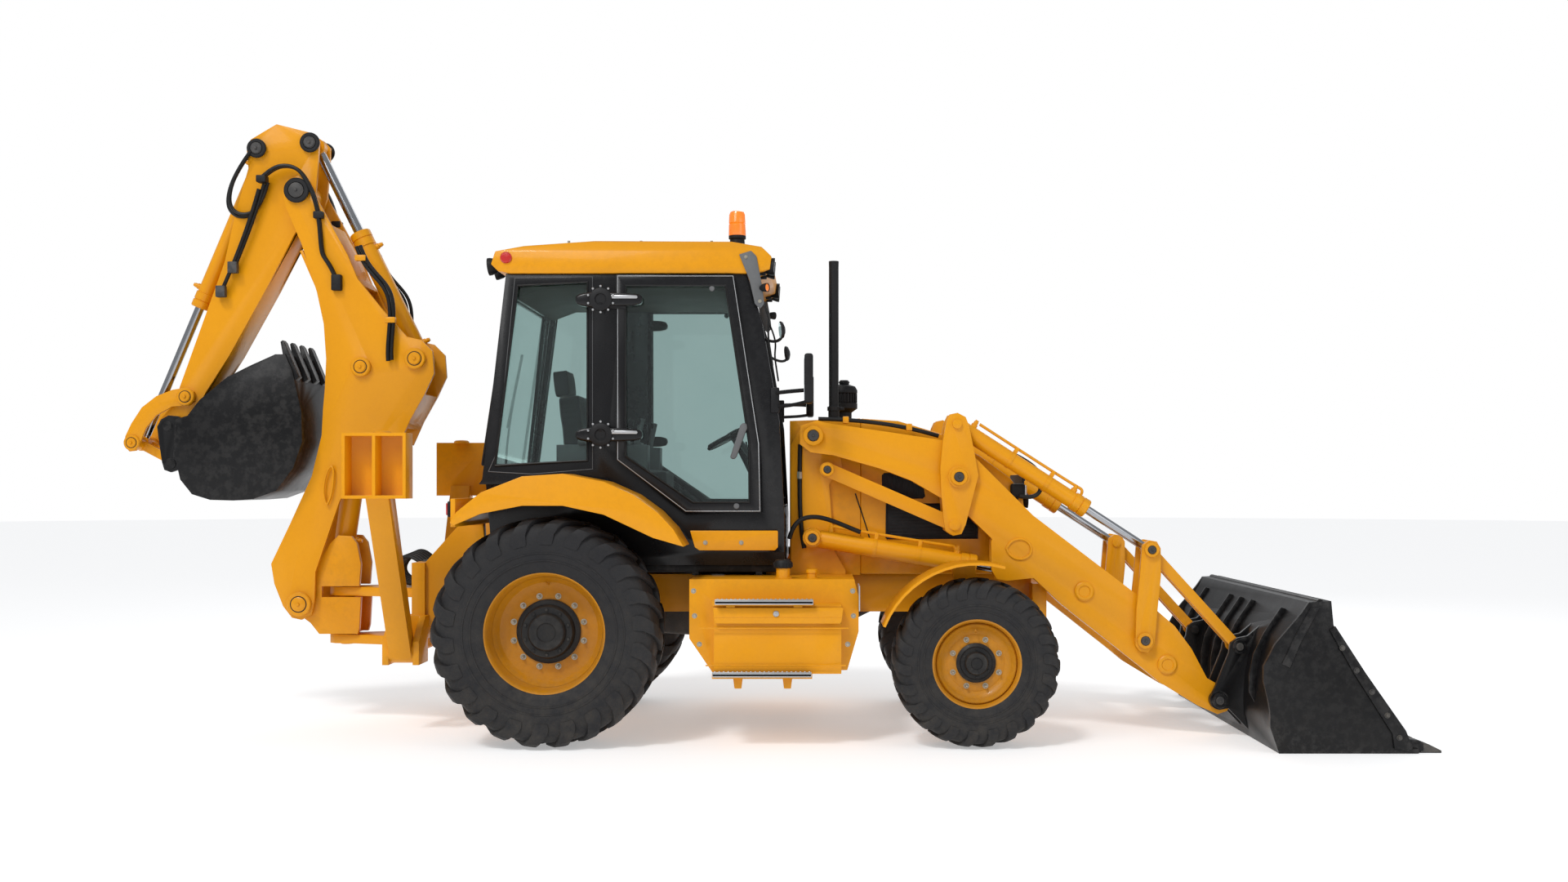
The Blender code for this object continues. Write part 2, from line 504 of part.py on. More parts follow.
def loader():
    solids, cuts = [], []
    for _, s in SIDES:
        y = lambda a, b: between(s, a, b)
        solids.append(prism(ARM, *y(ARM_INNER, ARM_OUTER)))
        solids.append(prism(GUSSET, *y(ARM_INNER, 0.495)))
        solids.append(prism(GUSSET, *y(0.565, ARM_OUTER)))
        for near, far in ((0.47, 0.5015), (0.5585, 0.59)):
            solids.append(pin(N_GUSSET, s * near, s * far, 0.030))
        for at, r in ((P_TOWER, 0.040), (K_KNEE, 0.040), (A_LEVER, 0.036), (E_BUCKET, 0.032)):
            cuts.append(pin(at, s * 0.40, s * 0.70, r + PIN_GAP))
    for at, r in ((TUBE_REAR, 0.055), (TUBE_FRONT, 0.050)):
        solids.append(pin(at, -0.53, 0.53, r))
    node("loader_arms", solids, cuts)
    for name, s in SIDES:
        y = lambda a, b: between(s, a, b)
        knee = [(1.195, 1.872), (1.215, 1.915), (1.262, 1.925), (1.310, 1.900), (1.330, 1.850), (1.360, 1.700), (1.386, 1.554),
                (1.355, 1.430), (1.310, 1.260), (1.285, 1.205), (1.235, 1.195), (1.190, 1.225), (1.180, 1.290),
                (1.165, 1.450), (1.160, 1.600), (1.175, 1.760)]
        solids = [prism(knee, *y(0.4325, 0.4625)), prism(knee, *y(0.5975, 0.6275)),
                  pin(K_KNEE, s * 0.44, s * 0.62, 0.040), pin(G_KNEE, s * 0.44, s * 0.645, 0.028),
                  pin(J_KNEE, s * 0.44, s * 0.4625, 0.040), pin(J_KNEE, s * 0.5975, s * 0.640, 0.034), pin(K_KNEE, s * 0.44, s * 0.4695, 0.065),
                  pin(K_KNEE, s * 0.5905, s * 0.648, 0.065)]
        node(f"knee_lever_{name}", solids)
        # levelling link, square cut ends
        (lx, lz), (jx, jz) = L_TOWER, J_KNEE
        solids = [strip([mixed(L_TOWER, J_KNEE, -0.02), mixed(L_TOWER, J_KNEE, 1.02)], 0.084, *y(0.51, 0.55)),
                  pin(L_TOWER, s * 0.4665, s * 0.578, 0.046), pin(J_KNEE, s * 0.463, s * 0.597, 0.046)]
        node(f"level_link_{name}", solids, [pin(L_TOWER, s * 0.40, s * 0.70, 0.026 + PIN_GAP)])
        # lift cylinder
        m, n = (M_TOWER[0], s * 0.53, M_TOWER[1]), (N_GUSSET[0], s * 0.53, N_GUSSET[1])
        length = math.dist(m, n)
        node(f"lift_barrel_{name}", [along(m, n, 0.02, length - 0.155, 0.055), along(m, n, length - 0.25, length - 0.15, 0.062),
                                     pin(M_TOWER, s * 0.470, s * 0.5825, 0.058)],
             [along(m, n, 0.09, length, 0.028), pin(M_TOWER, s * 0.4, s * 0.7, 0.032 + PIN_GAP)])
        node(f"lift_rod_{name}", [along(m, n, 0.12, length - 0.037, 0.0275), pin(N_GUSSET, s * 0.502, s * 0.558, 0.046)])
        # tilt cylinder
        g, b = (G_KNEE[0], s * 0.53, G_KNEE[1]), (B_LEVER[0], s * 0.53, B_LEVER[1])
        length = math.dist(g, b)
        node(f"tilt_barrel_{name}", [along(g, b, 0.02, 0.93, 0.050), along(g, b, 0.85, 0.935, 0.057), pin(G_KNEE, s * 0.463, s * 0.597, 0.052)],
             [along(g, b, 0.075, 1.2, 0.026), pin(G_KNEE, s * 0.4, s * 0.7, 0.028 + PIN_GAP)])
        node(f"tilt_rod_{name}", [along(g, b, 0.60, length - 0.035, 0.0255), pin(B_LEVER, s * 0.504, s * 0.556, 0.044)])
        # push link: two plates, joined by a block near the bucket
        for_link = []
        for near, far in ((0.4785, 0.5010), (0.559, 0.5815)):
            for_link.append(strip([B_LEVER, C_BUCKET], 0.060, *y(near, far)))
            a, b = (0.463, far) if near < 0.5 else (near, 0.597)
            for_link += [pin(B_LEVER, s * a, s * (0.5035 if near < 0.5 else b), 0.046), pin(C_BUCKET, s * a, s * b, 0.043)]
            if near > 0.5:
                for_link.append(pin(B_LEVER, s * 0.5565, s * near, 0.046))
        for_link.append(strip([mixed(B_LEVER, C_BUCKET, 0.62), mixed(B_LEVER, C_BUCKET, 0.86)], 0.044, *y(0.48, 0.58)))
        node(f"push_link_{name}", for_link, [pin(C_BUCKET, s * 0.4, s * 0.7, 0.028 + PIN_GAP)])
    # tilt levers on one torque tube
    lever = [(2.318, 0.545), (2.345, 0.508), (2.392, 0.502), (2.432, 0.545), (2.450, 0.760), (2.470, 0.960), (2.468, 1.120),
             (2.445, 1.160), (2.400, 1.168), (2.360, 1.140), (2.345, 0.960), (2.325, 0.760)]
    solids = [pin(A_LEVER, -0.44, 0.44, 0.045)]
    for _, s in SIDES:
        for near, far in ((0.4325, 0.4625), (0.5975, 0.6275)):
            solids.append(prism(lever, *between(s, near, far)))
        solids += [pin(A_LEVER, s * 0.43, s * 0.64, 0.036), pin(A_LEVER, s * 0.43, s * 0.4695, 0.058), pin(A_LEVER, s * 0.5905, s * 0.61, 0.058)]
        solids.append(pin(B_LEVER, s * 0.5975, s * 0.640, 0.028))
        solids.append(pin(B_LEVER, s * 0.420, s * 0.4625, 0.028))
    node("tilt_levers", solids)
    bucket()


def bucket():
    w = BUCKET_HALF_WIDTH
    outer = [(3.002, 0.0), (3.730, 0.0), (3.735, 0.035), (3.701, 0.126), (3.475, 0.450), (3.305, 0.715), (3.292, 0.850),
             (3.169, 0.843), (3.135, 0.779), (3.035, 0.630), (2.985, 0.487), (2.965, 0.360), (2.958, 0.235),
             (2.960, 0.145)]
    hollow = [(3.020, 0.028), (3.90, 0.028), (3.90, 1.0), (3.315, 1.0), (3.312, 0.826), (3.182, 0.818), (3.159, 0.768),
              (3.060, 0.620), (3.011, 0.482), (2.991, 0.358), (2.984, 0.236), (2.985, 0.155)]
    solids = [prism(outer, -w, w)]
    cuts = [prism(hollow, -w + PLATE_WALL, w - PLATE_WALL)]
    shell = node("loader_bucket", solids, cuts)
    extra = [box(3.60, 3.78, -w, w, 0.0, 0.026)]
    for k in range(8):
        y = -w + 0.06 + k * (2 * w - 0.12) / 7
        extra.append(prism([(3.66, 0.0), (3.915, 0.0), (3.917, 0.012), (3.80, 0.062), (3.66, 0.062)], y - 0.035, y + 0.035))
    side = [(3.002, 0.0), (3.04, 0.0), (3.20, 0.84), (3.169, 0.843), (3.125, 0.779), (2.982, 0.610), (2.915, 0.487),
            (2.915, 0.400), (2.940, 0.300), (2.952, 0.235), (2.954, 0.145)]
    extra += [prism(side, -w, -w + PLATE_WALL), prism(side, w - PLATE_WALL, w)]
    ear = [(2.770, 0.185), (2.815, 0.160), (2.870, 0.170), (2.995, 0.040), (3.03, 0.05), (3.02, 0.50), (3.055, 0.660),
           (2.985, 0.600), (2.925, 0.588), (2.885, 0.560), (2.875, 0.500), (2.790, 0.290), (2.765, 0.240)]
    for _, s in SIDES:
        for near, far in ((0.4325, 0.4625), (0.5975, 0.6275)):
            extra.append(prism(ear, *between(s, near, far)))
        extra += [pin(E_BUCKET, s * 0.44, s * 0.642, 0.032), pin(C_BUCKET, s * 0.420, s * 0.642, 0.028),
                  pin(E_BUCKET, s * 0.44, s * 0.4695, 0.050), pin(E_BUCKET, s * 0.5905, s * 0.62, 0.050)]
    for other in extra:
        combine(shell, other, "UNION")
    combine(shell, prism(hollow, -w + PLATE_WALL, w - PLATE_WALL), "DIFFERENCE")


# ---- backhoe ----
POST = [(-2.860, 0.735), (-2.845, 0.690), (-2.800, 0.672), (-2.744, 0.632), (-2.690, 0.563), (-2.450, 0.563), (-2.440, 0.60),
        (-2.430, 0.7915), (-2.440, 0.870), (-2.430, 1.000), (-2.455, 1.130), (-2.490, 1.175), (-2.570, 1.180), (-2.620, 1.130),
        (-2.700, 0.990), (-2.740, 0.850), (-2.850, 0.800)]
BOOM = [(-2.845, 0.668), (-2.785, 0.655), (-2.722, 0.690), (-2.705, 0.780), (-2.700, 0.953), (-2.550, 1.393), (-2.400, 1.660),
        (-2.274, 1.800), (-2.177, 1.750), (-2.110, 1.900), (-2.020, 2.060), (-1.960, 2.190), (-1.970, 2.330), (-2.040, 2.400),
        (-2.130, 2.420), (-2.290, 2.600), (-2.440, 2.785), (-2.497, 2.926), (-2.715, 3.325), (-2.735, 3.385), (-2.800, 3.425),
        (-2.875, 3.395), (-2.905, 3.330), (-2.885, 3.230), (-2.785, 2.998), (-2.690, 2.700), (-2.647, 2.500), (-2.632, 2.282),
        (-2.640, 2.100), (-2.652, 1.960), (-2.660, 1.805), (-2.722, 1.550), (-2.858, 1.250), (-2.975, 1.004), (-2.955, 0.881),
        (-2.900, 0.740)]
DIPPER = [(-2.692, 3.655), (-2.735, 3.700), (-2.958, 3.756), (-3.020, 3.720), (-3.120, 3.660), (-3.145, 3.590), (-3.135, 3.480),
          (-3.215, 3.200), (-3.284, 2.892), (-3.420, 2.520), (-3.565, 2.110), (-3.590, 2.010), (-3.690, 1.905), (-3.700, 1.840),
          (-3.660, 1.795), (-3.600, 1.790), (-3.545, 1.830), (-3.470, 1.950), (-3.400, 2.080), (-3.253, 2.310), (-3.020, 2.730),
          (-2.850, 3.060), (-2.735, 3.250), (-2.715, 3.330), (-2.700, 3.500)]


def thin_box(outline, half, plate, skip=()):
    """Two side plates and the flanges that close them, but for the edges in skip."""
    parts = [prism(outline, -half, -half + plate), prism(outline, half - plate, half)]
    return parts


def flange(path, plate, half):
    return strip(path, plate, -half, half)


def backhoe():
    # swing post: two plates on a turned pin, and cross webs
    solids = [prism(POST, s0, s1) for s0, s1 in ((-0.130, -0.095), (0.095, 0.130))]
    solids += [bar((SWING_X, 0, 0.490), (SWING_X, 0, 0.865), 0.040), bar((SWING_X, 0, 0.5555), (SWING_X, 0, 0.7995), 0.078),
               box(-2.62, -2.48, -0.10, 0.10, 0.5635, 0.7935), pin(F_POST, -0.1285, 0.1285, 0.034),
               pin(BOOM_FOOT, -0.190, 0.190, 0.036), box(-2.70, -2.60, -0.10, 0.10, 0.60, 0.78)]
    post = node("swing_post", solids)
    # room for the upper lug as the post swings round it
    combine(post, box(-2.575, -2.30, -0.2, 0.2, 0.793, 0.862), "DIFFERENCE")
    for s in (-1, 1):
        combine(post, box(-2.674, -2.30, *between(s, 0.088, 0.2), 0.793, 0.862), "DIFFERENCE")
    combine(post, bar((SWING_X, 0, 0.793), (SWING_X, 0, 0.862), 0.128, 24), "DIFFERENCE")
    combine(post, bar((SWING_X, 0, 0.70), (SWING_X, 0, 0.7995), 0.078), "UNION")
    combine(post, bar((SWING_X, 0, 0.490), (SWING_X, 0, 0.865), 0.040), "UNION")
    # boom
    solids = [prism(BOOM, -0.175, -0.150), prism(BOOM, 0.150, 0.175),
              flange([(-2.620, 3.120), (-2.508, 2.915), (-2.458, 2.795), (-2.415, 2.735)], 0.018, 0.155),
              flange([(-2.795, 2.960), (-2.682, 2.700), (-2.645, 2.540)], 0.018, 0.155),
              flange([(-2.140, 1.852), (-2.118, 1.905), (-2.030, 2.065)], 0.018, 0.155),
              pin(D_BOOM, -0.185, 0.185, 0.034), pin(D_BOOM, -0.190, -0.150, 0.062), pin(D_BOOM, 0.150, 0.190, 0.062),
              pin(BOOM_FOOT, -0.1865, -0.1305, 0.075), pin(BOOM_FOOT, 0.1305, 0.1865, 0.075),
              pin(Q_DIPPER, -0.195, 0.195, 0.040)]
    for s in (-1, 1):
        solids.append(pin(T_BOOM, s * 0.035, s * 0.190, 0.034))
        solids.append(pin(T_BOOM, s * 0.145, s * 0.190, 0.062))
    node("boom", solids, [pin(BOOM_FOOT, -0.3, 0.3, 0.036 + PIN_GAP)])
    f, t = (F_POST[0], 0, F_POST[1]), (T_BOOM[0], 0, T_BOOM[1])
    length = math.dist(f, t)
    node("boom_barrel", [along(f, t, 0.02, length - 0.165, 0.066), along(f, t, length - 0.27, length - 0.16, 0.073),
                         pin(F_POST, -0.0945, 0.0945, 0.062)],
         [along(f, t, 0.10, 2, 0.034), pin(F_POST, -0.2, 0.2, 0.034 + PIN_GAP)])
    node("boom_rod", [along(f, t, 0.13, length - 0.040, 0.0335), pin(T_BOOM, -0.0345, 0.0345, 0.056)])
    # dipper: plates outside the two cylinders' ends at the top, box section below
    solids = [prism(DIPPER, -0.125, -0.098), prism(DIPPER, 0.098, 0.125),
              flange([(-3.262, 2.930), (-3.273, 2.888), (-3.408, 2.518), (-3.545, 2.130)], 0.018, 0.105),
              flange([(-2.760, 3.225), (-2.860, 3.060), (-3.030, 2.730), (-3.262, 2.310), (-3.410, 2.080), (-3.480, 1.950)], 0.018, 0.105),
              pin(U_DIPPER, -0.130, 0.130, 0.030), pin(Q_DIPPER, -0.1495, 0.1495, 0.070),
              pin(R_BUCKET, -0.136, 0.136, 0.062), pin(V_LEVER, -0.136, 0.136, 0.056)]
    for s in (-1, 1):
        solids.append(pin(H_DIPPER, s * 0.033, s * 0.130, 0.032))
    node("dipper", solids, [pin(Q_DIPPER, -0.3, 0.3, 0.040 + PIN_GAP), pin(R_BUCKET, -0.3, 0.3, 0.030 + PIN_GAP),
                            pin(V_LEVER, -0.3, 0.3, 0.028 + PIN_GAP)])
    d, h = (D_BOOM[0], 0, D_BOOM[1]), (H_DIPPER[0], 0, H_DIPPER[1])
    length = math.dist(d, h)
    node("dipper_barrel", [along(d, h, 0.02, 0.90, 0.060), along(d, h, 0.81, 0.905, 0.067), pin(D_BOOM, -0.1495, 0.1495, 0.060)],
         [along(d, h, 0.09, 2, 0.032), pin(D_BOOM, -0.2, 0.2, 0.034 + PIN_GAP)])
    node("dipper_rod", [along(d, h, 0.62, length - 0.038, 0.0315), pin(H_DIPPER, -0.0325, 0.0325, 0.054)])
    u, v = (U_DIPPER[0], 0, U_DIPPER[1]), (W_LEVER[0], 0, W_LEVER[1])
    length = math.dist(u, v)
    node("bucket_barrel", [along(u, v, 0.02, 1.06, 0.050), along(u, v, 0.97, 1.065, 0.057), pin(U_DIPPER, -0.0975, 0.0975, 0.052)],
         [along(u, v, 0.085, 3, 0.028), pin(U_DIPPER, -0.2, 0.2, 0.030 + PIN_GAP)])
    node("bucket_rod", [along(u, v, 0.72, length - 0.034, 0.0275), pin(W_LEVER, -0.0295, 0.0295, 0.048)])
    # curved levers from the dipper to the rod, and the link on to the bucket
    lever = [(-3.465, 2.080), (-3.515, 2.105), (-3.600, 2.090), (-3.700, 2.050), (-3.790, 1.980), (-3.855, 1.880), (-3.893, 1.800),
             (-3.897, 1.745), (-3.868, 1.705), (-3.825, 1.710), (-3.800, 1.760), (-3.765, 1.850), (-3.700, 1.930), (-3.600, 1.985),
             (-3.500, 1.992), (-3.462, 2.020)]
    solids = [pin(V_LEVER, -0.150, 0.150, 0.028)]
    for s in (-1, 1):
        solids.append(prism(lever, *between(s, 0.1365, 0.1565)))
        solids.append(pin(W_LEVER, s * 0.030, s * 0.150, 0.028))
    node("bucket_lever", solids)
    solids = []
    for s in (-1, 1):
        solids.append(strip([W_LEVER, S_BUCKET], 0.056, *between(s, 0.040, 0.066)))
        solids += [pin(W_LEVER, s * 0.040, s * 0.136, 0.044), pin(S_BUCKET, s * 0.040, s * 0.136, 0.044)]
    solids.append(strip([mixed(W_LEVER, S_BUCKET, 0.60), mixed(W_LEVER, S_BUCKET, 0.97)], 0.040, -0.05, 0.05))
    node("bucket_link", solids, [pin(W_LEVER, -0.2, 0.2, 0.028 + PIN_GAP)])
    # digging bucket
    w = DIG_BUCKET_HALF_WIDTH
    outer = [(-3.440, 1.930), (-3.505, 1.800), (-3.520, 1.660), (-3.490, 1.530), (-3.418, 1.439), (-3.306, 1.404), (-3.165, 1.400),
             (-3.038, 1.410), (-2.900, 1.460), (-2.795, 1.600), (-2.740, 1.760), (-2.745, 1.950), (-2.801, 2.198), (-2.845, 2.300),
             (-2.905, 2.300), (-3.060, 2.230), (-3.20, 2.16), (-3.37, 2.02)]
    hollow = [(-3.42, 2.20), (-3.415, 1.93), (-3.480, 1.795), (-3.495, 1.660), (-3.468, 1.542), (-3.405, 1.462), (-3.302, 1.429),
              (-3.165, 1.425), (-3.043, 1.434), (-2.915, 1.482), (-2.818, 1.609), (-2.766, 1.764), (-2.771, 1.945), (-2.825, 2.190),
              (-2.880, 2.34), (-3.10, 2.40)]
    shell = node("backhoe_bucket", [prism(outer, -w, w)], [prism(hollow, -w + 0.02, w - 0.02)])
    ear = [(-3.665, 1.905), (-3.690, 1.860), (-3.680, 1.780), (-3.660, 1.640), (-3.645, 1.590), (-3.605, 1.575), (-3.560, 1.590),
           (-3.480, 1.560), (-3.500, 1.880), (-3.560, 1.925), (-3.620, 1.930)]
    extra = [pin(R_BUCKET, -0.170, 0.170, 0.030), pin(S_BUCKET, -0.172, -0.140, 0.034), pin(S_BUCKET, 0.140, 0.172, 0.034)]
    for s in (-1, 1):
        extra.append(prism(ear, *between(s, 0.1365, 0.1645)))
        extra.append(prism([(-3.52, 1.90), (-3.535, 1.66), (-3.46, 1.60), (-3.44, 1.66), (-3.42, 1.93)], *between(s, 0.1365, w)))
    for k in range(4):
        y = -w + 0.045 + k * (2 * w - 0.09) / 3
        extra.append(prism([(-2.788, 2.14), (-2.765, 2.16), (-2.852, 2.372), (-2.866, 2.388), (-2.878, 2.378), (-2.862, 2.29), (-2.85, 2.16)],
                           y - 0.03, y + 0.03))
    for other in extra:
        combine(shell, other, "UNION")
    combine(shell, prism(hollow, -w + 0.02, w - 0.02), "DIFFERENCE")
    for name, s in SIDES:
        stabilizer(name, s)


def stabilizer(name, s):
    """Leg, with its foot pad folded up against the machine."""
    leg = [(s * 0.475, 0.47), (s * 0.52, 0.44), (s * 0.575, 0.46), (s * 1.075, 1.44), (s * 1.00, 1.49), (s * 0.96, 1.49)]
    solids = [front(leg, -2.125, -1.995),
              bar((-2.1315, s * 0.52, 0.49), (-1.9885, s * 0.52, 0.49), 0.062),
              box(PAD_REAR, PAD_FRONT, *between(s, 1.00, 1.15), 1.42, 1.79)]
    cuts = [bar((-2.3, s * 0.52, 0.49), (-1.8, s * 0.52, 0.49), 0.030 + PIN_GAP)]
    mid = (PAD_REAR + PAD_FRONT) / 2
    for x0, x1 in ((PAD_REAR + 0.018, mid - 0.009), (mid + 0.009, PAD_FRONT - 0.018)):
        cuts.append(box(x0, x1, *between(s, 1.02, 1.20), 1.438, 1.772))
    node(f"stabilizer_{name}", solids, cuts)


def main():
    for obj in list(bpy.data.objects):
        bpy.data.objects.remove(obj)
    bpy.context.scene.unit_settings.scale_length = 1.0
    wheels()
    front_axle()
    main_frame()
    side_boxes()
    engine_block()
    cowl_and_hood()
    cab()
    fenders()
    operator_station()
    loader()
    backhoe()


main()
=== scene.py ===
import math
import bpy
from mathutils import Matrix, Vector


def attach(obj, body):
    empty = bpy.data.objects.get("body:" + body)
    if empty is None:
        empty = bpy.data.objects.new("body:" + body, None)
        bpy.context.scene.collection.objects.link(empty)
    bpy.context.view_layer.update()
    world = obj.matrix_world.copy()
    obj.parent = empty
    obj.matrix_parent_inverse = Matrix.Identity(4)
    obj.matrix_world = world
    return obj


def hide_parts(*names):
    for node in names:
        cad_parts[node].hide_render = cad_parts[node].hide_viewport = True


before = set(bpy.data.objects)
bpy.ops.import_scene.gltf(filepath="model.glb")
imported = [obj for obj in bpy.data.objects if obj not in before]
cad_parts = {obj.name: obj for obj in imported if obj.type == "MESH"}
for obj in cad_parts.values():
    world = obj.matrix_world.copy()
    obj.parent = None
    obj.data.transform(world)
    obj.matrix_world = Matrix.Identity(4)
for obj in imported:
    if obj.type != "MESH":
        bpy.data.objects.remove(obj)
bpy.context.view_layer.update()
bothSides = (("left", 1), ("right", -1))

# camera, light and floor
camera = {"place": (0.425, -9.73, 1.505), "lens": 35.2, "shift": (-0.0208, 0.0271)}
light = {"key": 320, "fill": 120, "rim": 180, "sun": 0.98, "sky": 0.44, "floorGlow": 0.36, "skyColor": (0.95, 0.97, 1.0), "backdrop": 1.0,
    "floorColor": (0.86, 0.86, 0.86)}


def setUpStage():
    view = bpy.data.cameras.new("camera")
    view.lens, view.sensor_width = camera["lens"], 36
    view.shift_x, view.shift_y = camera["shift"]
    eye = bpy.data.objects.new("camera", view)
    eye.location = camera["place"]
    eye.rotation_euler = (math.radians(90), 0, 0)
    bpy.context.scene.collection.objects.link(eye)
    bpy.context.scene.camera = eye
    for name, place, size, power in (("key", (-4.5, -8.5, 8.5), 5.0, light["key"]), ("fill", (8.0, -7.0, 4.5), 6.0, light["fill"]),
                                     ("rim", (2.0, 8.0, 7.0), 6.0, light["rim"])):
        lamp = bpy.data.lights.new(name, "AREA")
        lamp.size, lamp.energy = size, power
        holder = bpy.data.objects.new(name, lamp)
        holder.location = place
        holder.rotation_euler = (Vector((0, 0, 1.2)) - Vector(place)).to_track_quat("-Z", "Y").to_euler()
        bpy.context.scene.collection.objects.link(holder)
    sun = bpy.data.lights.new("sun", "SUN")
    sun.energy, sun.angle = light["sun"], math.radians(9)
    holder = bpy.data.objects.new("sun", sun)
    holder.rotation_euler = (math.radians(38), math.radians(-14), math.radians(-12))
    bpy.context.scene.collection.objects.link(holder)
    world = bpy.data.worlds.new("softSky")
    bpy.context.scene.world = world
    world.use_nodes = True
    sky = world.node_tree.nodes["Background"]
    sky.inputs["Color"].default_value = (*light["skyColor"], 1)
    sky.inputs["Strength"].default_value = light["sky"]
    nodes, links = world.node_tree.nodes, world.node_tree.links
    plain, seen, mixed = nodes.new("ShaderNodeBackground"), nodes.new("ShaderNodeLightPath"), nodes.new("ShaderNodeMixShader")
    plain.inputs["Color"].default_value = (1, 1, 1, 1)
    plain.inputs["Strength"].default_value = light["backdrop"]
    links.new(seen.outputs["Is Camera Ray"], mixed.inputs[0])
    links.new(sky.outputs["Background"], mixed.inputs[1])
    links.new(plain.outputs["Background"], mixed.inputs[2])
    links.new(mixed.outputs["Shader"], nodes["World Output"].inputs["Surface"])
    bpy.context.scene.view_settings.view_transform = "Standard"


# shader groups
def newGroup(name, inputs, outputs):
    tree = bpy.data.node_groups.new(name, "ShaderNodeTree")
    for label, kind, value in inputs:
        socket = tree.interface.new_socket(name=label, in_out="INPUT", socket_type=kind)
        socket.default_value = value
    for label, kind in outputs:
        tree.interface.new_socket(name=label, in_out="OUTPUT", socket_type=kind)
    return tree, tree.nodes.new("NodeGroupInput"), tree.nodes.new("NodeGroupOutput")


def noiseNode(tree, scale, detail, roughness=0.55):
    node = tree.nodes.new("ShaderNodeTexNoise")
    node.inputs["Scale"].default_value = scale
    node.inputs["Detail"].default_value = detail
    node.inputs["Roughness"].default_value = roughness
    return node


def mathNode(tree, kind, a=None, b=None, clamp=False):
    node = tree.nodes.new("ShaderNodeMath")
    node.operation, node.use_clamp = kind, clamp
    for socket, value in zip(node.inputs, (a, b)):
        if value is None:
            continue
        if isinstance(value, (int, float)):
            socket.default_value = value
        else:
            tree.links.new(value, socket)
    return node.outputs[0]


def rampNode(tree, source, low, high):
    node = tree.nodes.new("ShaderNodeMapRange")
    node.inputs["From Min"].default_value = low
    node.inputs["From Max"].default_value = high
    tree.links.new(source, node.inputs["Value"])
    return node.outputs[0]


